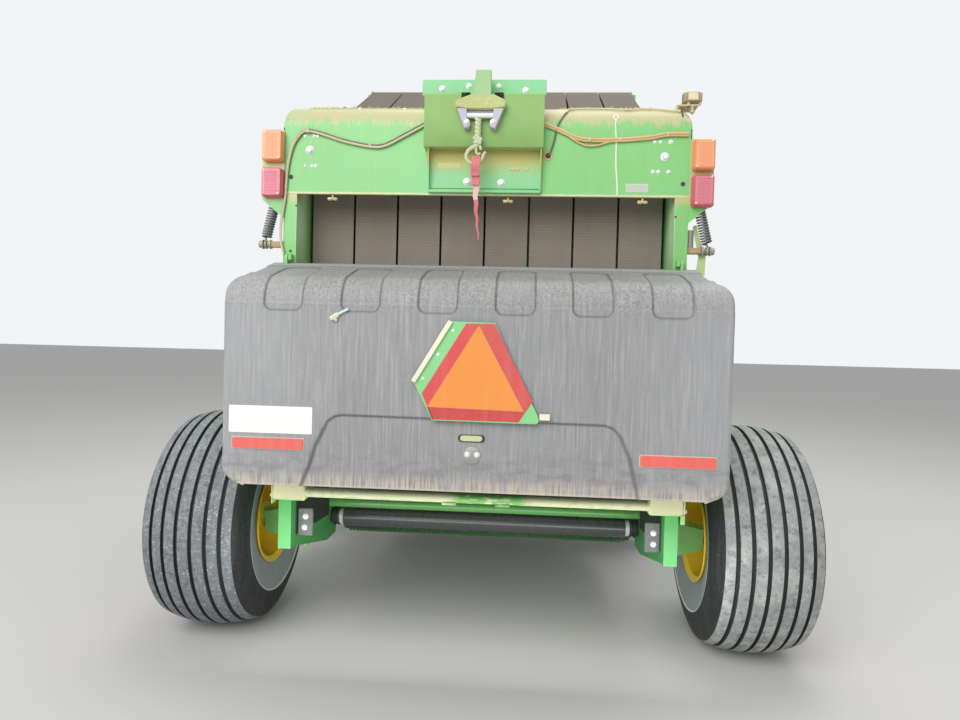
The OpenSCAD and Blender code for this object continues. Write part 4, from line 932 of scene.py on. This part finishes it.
def panel_distance(x, z):
    nearest, inside = 1.0, False
    for (ax, az), (bx, bz) in zip(panel_line, panel_line[1:] + panel_line[:1]):
        t = ((x - ax) * (bx - ax) + (z - az) * (bz - az)) / ((bx - ax) ** 2 + (bz - az) ** 2)
        t = min(max(t, 0.0), 1.0)
        nearest = min(nearest, math.hypot(x - ax - (bx - ax) * t, z - az - (bz - az) * t))
        if (az > z) != (bz > z) and x < ax + (bx - ax) * (z - az) / (bz - az):
            inside = not inside
    return -nearest if inside else nearest


def steps(marks, coarse):
    """Lines from the first mark to the last; each mark gives its place and the spacing up to the next one."""
    lines = []
    for (a, spacing), (b, _) in zip(marks, marks[1:]):
        parts = max(1, round((b - a) / (spacing or coarse)))
        lines += [a + (b - a) * i / parts for i in range(parts)]
    return lines + [marks[-1][0]]


x_marks = [(-cover_half, 0.0040), (-0.885, 0)]
for cx in slot_xs:
    x_marks += [(cx - slot_w / 2 - 0.008, 0.0022), (cx - slot_w / 2 + 0.030, 0.009), (cx + slot_w / 2 - 0.030, 0.0022),
                (cx + slot_w / 2 + 0.008, 0.006 if cx in (slot_xs[0], slot_xs[4]) else 0)]
x_marks += [(0.885, 0.0040), (cover_half, 0)]
path_end = bend_z - cover_low + bend_r * bend_end + math.hypot(0.2365, 0.0686)
slot_low, slot_high, lip_step = 1.471 - cover_low, path_end - 0.082, path_end - 0.066
s_marks = [(0.0, 0.0045), (0.04, 0.007), (0.235, 0.0035), (0.285, 0), (slot_low - 0.008, 0.0030),
           (slot_low + 0.030, 0.006), (slot_high - 0.034, 0.0028), (lip_step + 0.006, 0), (path_end, 0)]
cover_columns, cover_rows = steps(x_marks, coarse), steps(s_marks, coarse)
cover_shell = Form()
verts, marks, rims = [], [], []
for s in cover_rows:
    y, z, ny, nz = cover_path(s)
    w = cover_width(z)
    for x in cover_columns:
        if abs(x) > straight_x:
            share = (w - straight_x) / (cover_half - straight_x)
            x = math.copysign(straight_x + (abs(x) - straight_x) * share, x)
        d = max(edge_distance(x, z), 0.0)
        sink = edge_round - math.sqrt(edge_round ** 2 - (edge_round - d) ** 2) if d < edge_round else 0.0
        # line: strength of the painted shadow drawn along the lip step, the slot edges and the panel step, kept in a
        # vertex attribute.
        line = max(1 - abs(s - lip_step) / 0.004, 0)
        sink += 0.0035 * min(max(0.5 - (s - lip_step) / 0.006, 0), 1) if s > bend_z - cover_low else 0.0
        for cx in slot_xs:
            if abs(x - cx) < slot_w:
                e = rounded_distance(x, s, cx, (slot_low + slot_high) / 2, slot_w / 2, (slot_high - slot_low) / 2,
                                     slot_corner)
                sink += slot_depth * min(max(0.5 - e / 0.006, 0), 1)
                line = max(line, 0.9 * (1 - abs(e) / 0.007))
        if z < 1.2:
            e = panel_distance(x, z)
            sink += panel_depth * min(max(0.5 - e / 0.010, 0), 1)
            line = max(line, 1 - abs(e) / (0.007 if z > 1.04 else 0.011))
        verts.append((x, y - ny * sink, z - nz * sink))
        marks.append(max(line, 0.0))
        rims.append(max(1 - min(d, s) / 0.010, 0.0) if z < 1.3 else 0.0)
across = len(cover_columns)
outer = [(r * across + c, r * across + c + 1, (r + 1) * across + c + 1, (r + 1) * across + c)
         for r in range(len(cover_rows) - 1) for c in range(across - 1)]
cover_shell.add(verts, outer)
for side in (0, across - 1):
    edge = [verts[r * across + side] for r in range(len(cover_rows))]
    front_edge = [(x, lip[0], z) for x, y, z in edge]
    count = len(edge)
    cover_shell.add(edge + front_edge, [(i, i + 1, count + i + 1, count + i) for i in range(count - 1)])


def cover_marks_and_shadows(n, shown):
    x, _, z = n.place()
    worn = n.noise(1.0, 6.0, (150.0, 22.0, 7.0))
    shown = n.mix(n.math("MULTIPLY", n.ramp(worn, 0.5, 0.72), 0.26), shown, tint("c9c9c8"))
    shown = n.mix(n.math("MULTIPLY", n.ramp(worn, 0.48, 0.28), 0.26), shown, tint("68686a"))
    sides = n.ramp(n.math("ABSOLUTE", x), 0.45, 0.95)
    shown = n.mix(n.math("MULTIPLY", sides, 0.30), shown, tint("b4b5b8"))
    on_bend = n.math("MULTIPLY", n.ramp(z, 1.44, 1.53), n.ramp(z, 1.668, 1.640))
    patchy = n.math("MULTIPLY_ADD", n.noise(6.0, 4.0), 1.6, -0.25, True)
    specks = n.math("MULTIPLY", n.ramp(n.noise(105.0, 3.0), 0.48, 0.60), patchy)
    shown = n.mix(n.math("MULTIPLY", n.math("MULTIPLY", on_bend, specks), 0.62), shown, tint("756d61"))
    lighter = n.math("MULTIPLY", n.ramp(n.noise(120.0, 3.0), 0.55, 0.66), patchy)
    shown = n.mix(n.math("MULTIPLY", n.math("MULTIPLY", on_bend, lighter), 0.35), shown, tint("cfc9bd"))
    shown = n.mix(n.math("MULTIPLY", n.ramp(z, 1.655, 1.672), 0.45), shown, tint("c4c2bb"))
    drips = n.ramp(n.noise(1.0, 5.0, (170.0, 170.0, 9.0)), 0.36, 0.60)
    scuffed = n.math("MULTIPLY", n.ramp(z, 1.00, 0.90), n.ramp(n.noise(1.0, 5.0, (14.0, 14.0, 30.0)), 0.44, 0.62))
    shown = n.mix(n.math("MULTIPLY", scuffed, 0.4), shown, tint("77777a"))
    shown = n.mix(n.math("MULTIPLY", n.math("MULTIPLY", n.ramp(z, 0.885, 0.825), drips), 0.65), shown, tint("d3c5ad"))
    rim = n.put("Attribute", attribute_name="rim_dust")
    shown = n.mix(n.math("MULTIPLY", rim.outputs["Fac"], 0.65), shown, tint("e2dccb"))
    # Painted shadow: dark lines along the lip step, the slot edges and the recessed panel's step, where the steps shade
    # themselves.
    step_shadow_mask = n.put("Attribute", attribute_name="step_shadow")
    return n.mix(n.math("MULTIPLY", step_shadow_mask.outputs["Fac"], 0.75), shown, tint("47474a"))


cover_plastic = finish("cover_plastic_worn_and_shadowed", "929395", rough=0.5, dust=0.05, dust_colour="c9c6b8", mottle=0.22,
                       streak=0.10, speckle=0.18, grain=0.0006, grain_size=320.0, paint_over=cover_marks_and_shadows)
cover = piece("net_cover_shell", cover_shell, "cover", cover_plastic, 55.0, ("net_cover",))
for mask_name, values in (("step_shadow", marks), ("rim_dust", rims)):
    dirt = cover.data.attributes.new(mask_name, "FLOAT", "POINT")
    dirt.data.foreach_set("value", values + [0.0] * (len(cover.data.vertices) - len(values)))
shell = cover.modifiers.new("shell", "SOLIDIFY")
shell.thickness = 0.006
shell.offset = -1.0
hinge_ears, hinge_z, hinge_y = Form(), 1.706, -0.410
for x in (-0.814, 0.814):
    hinge_ears.bar((x - 0.006, hinge_y, hinge_z), (x + 0.006, hinge_y, hinge_z), 0.015, 24)
    hinge_ears.block((x - 0.006, hinge_y - 0.015, 1.676), (x + 0.006, hinge_y + 0.011, hinge_z), 0.001)
piece("cover_hinge_ears", hinge_ears, "cover", gate_enamel)

# Cover fittings: the latch in its oval slot, a small coupler, two long reflectors and a bare white plate.
# All sit on the rear face of the shell.
latch_slot, latch_lever, latch_bolts, latch_plate = Form(), Form(), Form(), Form()
latch_slot.sheet(rounded(-0.045, 0.999, 0.055, 1.027, 0.0135), cover_back + 0.004, 0.004, 0.001)
latch_lever.sheet(rounded(-0.036, 1.003, 0.046, 1.024, 0.010), cover_back - 0.002, 0.007, 0.003)
latch_plate.lathe([(0, 0), (0, 0.033), (0.002, 0.033), (0.003, 0.031), (0.003, 0)], (0.009, cover_back + 0.007, 0.950),
                  to_rear, 32)
for x in (-0.009, 0.027):
    latch_bolts.bolt((x, cover_back + 0.004, 0.953), to_rear, 0.0085)
piece("latch_slot", latch_slot, "cover", black_rubber)
coupler, coupler_rod = Form(), Form()
coupler.bar((-0.529, cover_back - 0.007, 1.441), (-0.500, cover_back - 0.007, 1.460), 0.0095, 6, 0.002)
coupler.bar((-0.512, cover_back - 0.004, 1.444), (-0.508, cover_back - 0.010, 1.436), 0.007, 8, 0.001)
coupler_rod.bar((-0.502, cover_back - 0.007, 1.459), (-0.463, cover_back - 0.007, 1.480), 0.0052, 12)
piece("cover_coupler", coupler, "cover", finish("coupler_cream", "e3e0c4", rough=0.5, dust=0.1))
piece("cover_coupler_rod", coupler_rod, "cover", finish("coupler_blue", "cfe4ea", rough=0.4, dust=0.05))
piece("latch_lever", latch_lever, "cover", finish("lever_paint", "c6cf9e", rough=0.5, dust=0.2))
piece("latch_plate", latch_plate, "cover", finish("latch_steel", "9d9d9f", rough=0.45, metal=0.4))
piece("latch_bolts", latch_bolts, "cover", zinc)


def prism_cells(n, surface):
    cells = n.put("TexVoronoi")
    cells.inputs["Scale"].default_value = 240.0
    cells.inputs["Randomness"].default_value = 0.0
    n.feed(n.put("TexCoord").outputs["Object"], cells.inputs["Vector"])
    return cells.outputs["Distance"]


reflector_red = finish("reflector_red", "ea6255", rough=0.25, dust=0.08, dust_colour="f0c4b4", mottle=0.3, coat=0.4,
                       grain=0.0008, bumps=prism_cells)
reflectors, reflector_back = Form(), Form()
for x0, z0, x1, z1 in ((-0.902, 0.946, -0.622, 0.993), (0.616, 0.931, 0.893, 0.977)):
    reflector_back.sheet(rounded(x0, z0, x1, z1, 0.008), cover_back - 0.002, 0.006, 0.001)
    reflectors.sheet(inset((x0, z0, x1, z1), 0.003, 0.006), cover_back - 0.006, 0.005, 0.0015)
piece("reflectors", reflectors, "cover", reflector_red)
piece("reflector_backs", reflector_back, "cover", pale_plate)

label = Form()
label.sheet(rounded(-0.914, 1.008, -0.594, 1.110, 0.004), cover_back - 0.001, 0.003, 0.0004)
piece("label_plate", label, "cover", finish("label_white", "fbf8f0", rough=0.45, dust=0.04, mottle=0.08))

# Slow-vehicle triangle: an enamelled plate on stand-offs with red bands around an orange triangle.
# A bent cream edge strip with three rivets stiffens its left side.
sign_y = -0.738
sign_green = finish("sign_green", "86d389", rough=0.4, dust=0.06)
sign_red = finish("sign_red", "cf4f4b", rough=0.4, dust=0.08, dust_colour="eab0a8", mottle=0.35, streak=0.2)
sign_orange = finish("sign_orange", "ec9139", rough=0.35, dust=0.08, dust_colour="f7c48c", mottle=0.3, coat=0.2)
cream_paint = finish("cream_paint", "efe9d0", rough=0.5, dust=0.15, dust_colour="c9bf9a", mottle=0.3)
sign = Form()
sign.sheet([(-0.083, 1.443), (0.082, 1.440), (0.246, 1.105), (0.250, 1.090), (0.248, 1.082), (0.240, 1.076),
            (-0.140, 1.078), (-0.213, 1.219)], sign_y, 0.003, 0.0006)
for z in (1.13, 1.38):
    sign.bar((0.02, cover_back, z), (0.02, sign_y + 0.003, z), 0.012, 20)
piece("sign_base", sign, "cover", sign_green, stands_for=("sign_plate",))
turn_by = math.radians(-1.136)
triangle = [(0.0, 0.203), (0.176, -0.102), (-0.176, -0.102)]
triangle = [(0.0198 + x * math.cos(turn_by) - z * math.sin(turn_by),
             1.2266 + x * math.sin(turn_by) + z * math.cos(turn_by)) for x, z in triangle]
apex, right_corner, left_corner = [Vector(p) for p in triangle]
band_outer = [Vector(p) for p in ((-0.0225, 1.436), (0.081, 1.437), (0.2255, 1.157), (0.177, 1.081), (-0.137, 1.082),
                                  (-0.180, 1.176))]
top_left, top_right, right_high, right_low, left_low, left_high = band_outer
band_cut, band_t = 0.0012, 0.0012
bands_left, bands_right, bands_low = Form(), Form(), Form()
bands_left.sheet([top_left, (top_left + top_right) / 2, apex, left_corner, left_high], sign_y - 0.0010, band_t)
bands_right.sheet([(top_left + top_right) / 2, top_right, right_high, right_corner, apex], sign_y - 0.0010, band_t)
bands_low.sheet([left_corner, right_corner, right_high, right_low, left_low], sign_y - 0.0010, band_t)
bands_low.sheet([left_high, left_corner, left_low], sign_y - 0.0010, band_t)
seams = Form()
for a, b in ((left_corner, left_low), (left_high, left_low), (apex, left_corner), (apex, right_corner),
             (left_corner, right_corner), (right_corner, (right_high + right_low) / 2)):
    across_seam = Vector((b.y - a.y, a.x - b.x)).normalized() * band_cut
    seams.sheet([a + across_seam, b + across_seam, b - across_seam, a - across_seam], sign_y - 0.0022, 0.0014)
piece("sign_band_left", bands_left, "cover", finish("sign_red_bright", "d8474b", rough=0.4, dust=0.05))
piece("sign_band_right", bands_right, "cover", sign_red)
piece("sign_band_low", bands_low, "cover", finish("sign_red_deep", "c9383f", rough=0.4, dust=0.08, mottle=0.5))
piece("sign_seams", seams, "cover", finish("sign_seam", "e0805c", rough=0.5))
face = Form()
face.sheet(triangle, sign_y - 0.0020, 0.0018, 0.0003)
piece("sign_triangle", face, "cover", sign_orange)
strip, rivets = Form(), Form()
strip.sheet([(-0.087, 1.447), (-0.072, 1.439), (-0.206, 1.214), (-0.220, 1.223)], sign_y - 0.010, 0.013, 0.002)
strip.sheet(rounded(0.252, 1.091, 0.290, 1.114, 0.003), sign_y - 0.002, 0.006, 0.001)
for x, z in ((-0.070, 1.409), (-0.123, 1.320), (-0.177, 1.231)):
    rivets.lathe([(0, 0), (0, 0.006), (0.002, 0.005), (0.003, 0)], (x, sign_y, z), to_rear, 16)
piece("sign_edge_strip", strip, "cover", cream_paint)
piece("sign_rivets", rivets, "cover", zinc)

# Road tyres: wide flotation tyres with a rounded crown of seven plain ribs and six grooves.
# Pale dust and chaff cover the ribs; the side walls are dark rubber outside a thin raised ring, coloured pale as a
# painted highlight, and dusty inside it.
wheel_z, wheel_x, crown_fall, crown_power = 0.506, 1.205, 1.365, 2.2


def tread_dirt(n, shown):
    right = n.ramp(n.place()["X"], 0.5, 1.0)
    patches = n.ramp(n.noise(13.0, 5.0), 0.40, 0.66)
    shown = n.mix(n.math("MULTIPLY", right, n.math("MULTIPLY_ADD", patches, 0.4, 0.3)), shown, tint("bfc0ba"))
    scuffs = n.ramp(n.noise(52.0, 5.0), 0.48, 0.64)
    shown = n.mix(n.math("MULTIPLY", scuffs, 0.25), shown, tint("b7b9b7"))
    shown = n.mix(n.math("MULTIPLY", n.ramp(n.noise(34.0, 4.0), 0.46, 0.34), 0.45), shown, tint("4d5356"))
    chaff = n.math("MULTIPLY", n.ramp(n.noise(150.0, 3.0), 0.61, 0.68), n.math("MULTIPLY_ADD", patches, 0.5, 0.2))
    return n.mix(chaff, shown, tint("e4e6e4"))


tread_dust = finish("tread_rubber_dusty", "70767a", rough=0.85, dust=0.25, dust_colour="a3a8a8", mottle=0.5, streak=0.1,
                    speckle=0.3, grain=0.003, grain_size=140.0, paint_over=tread_dirt)
groove_dirt = finish("groove_dirt", "34393c", rough=0.95, dust=0.15, dust_colour="6d6a63", mottle=0.3, speckle=0.2)
wall_rubber = finish("side_wall_rubber", "1c1f21", rough=0.6, dust=0.05, dust_colour="8f918e", mottle=0.5, speckle=0.2,
                     grain=0.0008)
wall_dusty = finish("side_wall_dusty", "8c959a", rough=0.8, dust=0.25, dust_colour="b2b5b4", mottle=0.6, speckle=0.5,
                    grain=0.0012)
# Painted highlight: the thin raised ring on each side wall is coloured pale where light catches it.
ring_highlight_paint = finish("side_wall_ring_highlight", "cfd3d1", rough=0.8, dust=0.2, mottle=0.4)


def crown(w):
    return wheel_z - crown_fall * abs(w) ** crown_power


bead_ring = (-0.190, 0.204)
half_rings = [bead_ring, (-0.202, 0.242), (-0.219, 0.300), (-0.2255, 0.3445), (-0.2290, 0.3480),
              (-0.2290, 0.3515), (-0.2260, 0.355), (-0.222, 0.395), (-0.210, 0.432), (-0.198, 0.459),
              (-0.1915, 0.4680), (-0.1885, 0.4712)]
tyre_rings, tyre_zones = list(half_rings), [3] * 3 + [4] * 2 + [2] * 5 + [0] * 2
for groove in (-0.1473, -0.0906, -0.0306, 0.0306, 0.0906, 0.1473):
    for w, deep in ((groove - 0.0095, 0.0), (groove - 0.0080, 0.0015), (groove - 0.0062, 0.016),
                    (groove + 0.0062, 0.016), (groove + 0.0080, 0.0015), (groove + 0.0095, 0.0)):
        tyre_rings.append((w, crown(w) - deep))
    tyre_zones += [0, 1, 1, 1, 0, 0]
tyre_rings += [(-w, r) for w, r in reversed(half_rings)]
tyre_zones += [0] + [2] * 5 + [4] * 2 + [3] * 3
for name, x in (("left", -wheel_x), ("right", wheel_x)):
    tyre = Form()
    tyre.lathe(tyre_rings + [bead_ring], (x, 0, wheel_z), (1, 0, 0), 144, tyre_zones + [2] * 3)
    piece("road_tyre_" + name, tyre, "wheel_" + name,
          [tread_dust, groove_dirt, wall_rubber, wall_dusty, ring_highlight_paint], 35.0, ("tyre_" + name,))

# Road rims: pressed steel rims painted yellow, which keep their CAD shape.
# A ring of eight zinc wheel nuts round the hub holds each one.
rim_yellow = finish("rim_yellow_dusty", "ffd63a", rough=0.4, dust=0.06, dust_colour="d6b860", mottle=0.3, streak=0.1,
                    speckle=0.15, grain=0.0006, coat=0.2)
wear(rim_yellow, "rim_left", "rim_right")
nut_count, nut_circle, hub_out = 8, 0.128, 0.0265
for name, side in (("left", -1), ("right", 1)):
    nuts = Form()
    for i in range(nut_count):
        a = i * math.tau / nut_count
        nuts.bolt((side * (wheel_x + hub_out), nut_circle * math.cos(a), wheel_z + nut_circle * math.sin(a)),
                  (side, 0, 0), 0.014)
    piece("wheel_nuts_" + name, nuts, "wheel_" + name, zinc)

# Gate cylinders: hydraulic cylinders with black painted barrels and bright chromed rods.
# They are pinned to the frame and follow the gate.
barrel_paint = finish("barrel_paint", "2c2e30", rough=0.4, dust=0.15, dust_colour="8c8875")
chrome = finish("rod_chrome", "c6c8c9", rough=0.15, metal=1.0, dust=0.02, speckle=0.02, streak=0.02, grain=0.0001)
wear(barrel_paint, "barrel_left", "barrel_right")
wear(chrome, "rod_left", "rod_right")

# Side doors: smooth bulged sheets, enamelled green, that hinge at the top.
# Pressed beads and a dark pull plate break up each sheet.
wear(enamel, "door_left", "door_right")
door_skin = 0.998
for name, side in (("left", -1), ("right", 1)):
    beads, pull = Form(), Form()
    a, b = sorted((side * door_skin, side * 1.004))
    for z in (1.30, 1.62, 1.94, 2.16):
        beads.block((a, 0.62, z), (b, 1.84, z + 0.03), 0.0025)
    a, b = sorted((side * door_skin, side * 1.006))
    pull.block((a, 1.16, 1.16), (b, 1.30, 1.21), 0.003)
    piece("door_beads_" + name, beads, "door_" + name, enamel)
    piece("door_pull_" + name, pull, "door_" + name, black_rubber)

# Gate crossbar: a cream tube with heavier sleeves at both ends, worn back to green in its middle.
# Below it, bearing plates, clamp bolts and a lipped steel roller hang between the side arms.


def bar_dirt(n, shown):
    x, _, z = n.place()
    chips = n.ramp(n.noise(1.0, 5.0, (20.0, 60.0, 60.0)), 0.50, 0.60)
    middle = n.ramp(n.math("ABSOLUTE", n.math("SUBTRACT", x, 0.065)), 0.19, 0.11)
    worn = n.math("MULTIPLY", middle, n.ramp(n.noise(1.0, 5.0, (26.0, 60.0, 90.0)), 0.36, 0.46))
    low = n.ramp(z, 0.712, 0.702)
    green = n.math("ADD", n.math("MULTIPLY", n.math("MULTIPLY", low, 0.45), chips), worn, clamp=True)
    shown = n.mix(green, shown, tint("6fbf5d"))
    return n.mix(n.math("MULTIPLY", n.ramp(n.noise(40.0, 5.0), 0.52, 0.66), 0.3), shown, tint("b5a78a"))


bar_cream = finish("bar_cream", "d8e0b4", rough=0.55, dust=0.1, dust_colour="ddd6b4", mottle=0.2, streak=0.15,
                   paint_over=bar_dirt)


def sleeve_dirt(n, shown):
    z = n.place()["Z"]
    shown = n.mix(n.math("MULTIPLY", n.ramp(n.noise(60.0, 4.0), 0.44, 0.60), 0.4), shown, tint("c8e89e"))
    return n.mix(n.math("MULTIPLY", n.ramp(z, 0.694, 0.686), 0.8), shown, tint("8fd87c"))


sleeve_cream = finish("sleeve_cream", "e6e2b8", rough=0.6, dust=0.1, dust_colour="ddd0a8", mottle=0.2, streak=0.1,
                      paint_over=sleeve_dirt)
crossbar, sleeves, bar_hooks = Form(), Form(), Form()
crossbar.bar((-0.857, -0.409, 0.717), (0.857, -0.409, 0.717), 0.020, 32, 0.003)
for x in (-0.105, 0.118):
    crossbar.block((x - 0.030, -0.428, 0.690), (x + 0.030, -0.409, 0.703), 0.003)
for side in (-1, 1):
    a, b = sorted((side * 0.712, side * 0.851))
    sleeves.block((a, -0.434, 0.684), (b, -0.389, 0.753), 0.006)
    a, b = sorted((side * 0.851, side * 0.8565))
    bar_hooks.block((a, -0.434, 0.668), (b, -0.392, 0.756), 0.0015)
    bar_hooks.bar((side * 0.846, -0.412, 0.700), (side * 0.868, -0.412, 0.700), 0.007, 16)
bar_hooks.block((0.838, -0.436, 0.652), (0.856, -0.430, 0.690), 0.0015)
piece("crossbar_tube", crossbar, "gate", bar_cream, stands_for=("gate_crossbar",))
piece("crossbar_sleeves", sleeves, "gate", sleeve_cream)
piece("crossbar_hooks", bar_hooks, "gate", sleeve_cream)
black_iron = finish("black_iron", "2f3133", rough=0.5, dust=0.12, dust_colour="87806c", mottle=0.3)
plate_iron = finish("plate_iron", "5a5d62", rough=0.5, dust=0.25, dust_colour="a3a49a", mottle=0.7, speckle=0.5)
wear(black_iron, "jack", "driveshaft", "pickup_bands")
roller_black = finish("roller_black", "4c4f52", rough=0.2, dust=0.08, dust_colour="87806c", mottle=0.3, coat=0.3,
                      grain=0.0004)
roller, roller_ends, bearings = Form(), Form(), Form()
roller_at = (0.229, 0.450)
roller.bar((-0.718, *roller_at), (0.718, *roller_at), 0.046, 64, 0.004)
for way in (-1, 1):
    roller_ends.bar((way * 0.714, *roller_at), (way * 0.739, *roller_at), 0.040, 40)
    bearings.lathe([(0, 0), (0, 0.044), (0.003, 0.046), (0.009, 0.046), (0.011, 0.040), (0.020, 0.040),
                    (0.022, 0.047), (0.030, 0.047), (0.033, 0.036), (0.045, 0.034), (0.045, 0)],
                   (way * 0.739, *roller_at), (way, 0, 0), 40)
    for i in range(6):
        a = i * 1.05
        bearings.bolt((way * 0.741, roller_at[0] + 0.036 * math.cos(a), roller_at[1] + 0.036 * math.sin(a)),
                      (-way, 0, 0), 0.006)
piece("gate_roller_tube", roller, "gate", roller_black, stands_for=("gate_roller",))
piece("gate_roller_ends", roller_ends, "gate", zinc)
piece("gate_roller_bearings", bearings, "gate", black_iron)
shade_sheets, wear_plates, low_bolts = Form(), Form(), Form()
# Painted shade: black sheets inside the gate side plates stand in for the shaded interior seen between the side arm and
# the crossbar.
shade_sheet_outline = [(-0.330, 0.510), (0.155, 0.474), (0.165, 0.560), (0.120, 0.655), (-0.330, 0.672)]
for way in (-1, 1):
    shade_sheets.add([(way * x, y, z) for x in (0.7845, 0.7805) for y, z in shade_sheet_outline],
                     [tuple(range(5)), tuple(range(5, 10))]
                     + [(i, (i + 1) % 5, 5 + (i + 1) % 5, 5 + i) for i in range(5)])
wear_plates.block((-0.773, -0.336, 0.508), (-0.706, -0.326, 0.628), 0.004)
wear_plates.block((0.716, -0.336, 0.503), (0.780, -0.326, 0.629), 0.004)
for x, z in ((-0.739, 0.593), (-0.743, 0.545), (0.752, 0.586), (0.753, 0.539)):
    low_bolts.bolt((x, -0.336, z), to_rear, 0.010)
piece("inner_shade_sheets", shade_sheets, "gate", black_iron)
piece("bearing_plates", wear_plates, "gate", plate_iron)
piece("crossbar_bolts", low_bolts, "gate", zinc)

# Starter roll: a dark steel drum with many short slanted cleats welded round it, which draws the crop in.
# The cleats keep their green paint.
starter_at, drum_r, cleat_r, cleat_rows, cleats_across = (0.500, 0.400), 0.088, 0.101, 14, 72
starter, cleats = Form(), Form()
starter.bar((-0.777, *starter_at), (0.777, *starter_at), drum_r, 56)
starter.bar((-0.7847, *starter_at), (0.7847, *starter_at), 0.020, 20)
for row in range(cleat_rows):
    for k in range(cleats_across):
        middle_x = -0.750 + 1.500 * (k + 0.5 * (row % 2)) / cleats_across
        lean = 0.011 if middle_x > 0 else -0.011
        verts = []
        for step in (-1, 1):
            a = math.tau * row / cleat_rows + step * 0.17
            x = middle_x + step * lean
            for r, w in ((drum_r - 0.002, -0.0035), (cleat_r, -0.0022), (cleat_r, 0.0022), (drum_r - 0.002, 0.0035)):
                verts.append((x + w, starter_at[0] + r * math.cos(a), starter_at[1] + r * math.sin(a)))
        cleats.add(verts, [(j, (j + 1) % 4, 4 + (j + 1) % 4, 4 + j) for j in range(4)] + [(0, 1, 2, 3), (4, 5, 6, 7)])
piece("starter_drum", starter, "starter", finish("drum_dark", "2f3f33", rough=0.5, dust=0.15),
      stands_for=("starter_roll",))
piece("starter_cleats", cleats, "starter", finish("cleat_green", "37804a", rough=0.45, dust=0.1))

# Pickup: a green frame with bent steel bands and a sprung-tine reel between them.
# The tines are bare steel, dulled by dust.
wear(enamel, "pickup_frame", "wind_guard")
tine_steel = finish("tine_steel", "86817a", rough=0.4, metal=0.7, dust=0.15, dust_colour="80705a")
wear(tine_steel, "pickup_reel")

# Gauge wheels: small solid rubber tyres that carry the pickup.
# Each is pressed on a yellow steel disc with a hub.
gauge_x, gauge_y, gauge_z = 1.080, 1.500, 0.280
for name, side in (("left", -1), ("right", 1)):
    gauge, disc = Form(), Form()
    gauge.lathe([(0.010, 0.112), (0.004, 0.125), (0.0, 0.150), (0.008, 0.178), (0.028, 0.189), (0.055, 0.190),
                 (0.082, 0.189), (0.102, 0.178), (0.110, 0.150), (0.106, 0.125), (0.100, 0.112), (0.010, 0.112)],
                (side * gauge_x, gauge_y, gauge_z), (side, 0, 0), 64)
    disc.lathe([(0.006, 0.0155), (0.006, 0.040), (0.034, 0.046), (0.034, 0.105), (0.012, 0.108), (0.012, 0.1125),
                (0.098, 0.1125), (0.098, 0.108), (0.042, 0.104), (0.042, 0.046), (0.104, 0.040), (0.104, 0.0155),
                (0.006, 0.0155)], (side * gauge_x, gauge_y, gauge_z), (side, 0, 0), 48)
    piece("gauge_tyre_" + name, gauge, "gauge_" + name, wall_rubber, 35.0, ("gauge_wheel_" + name,))
    piece("gauge_disc_" + name, disc, "gauge_" + name, rim_yellow)
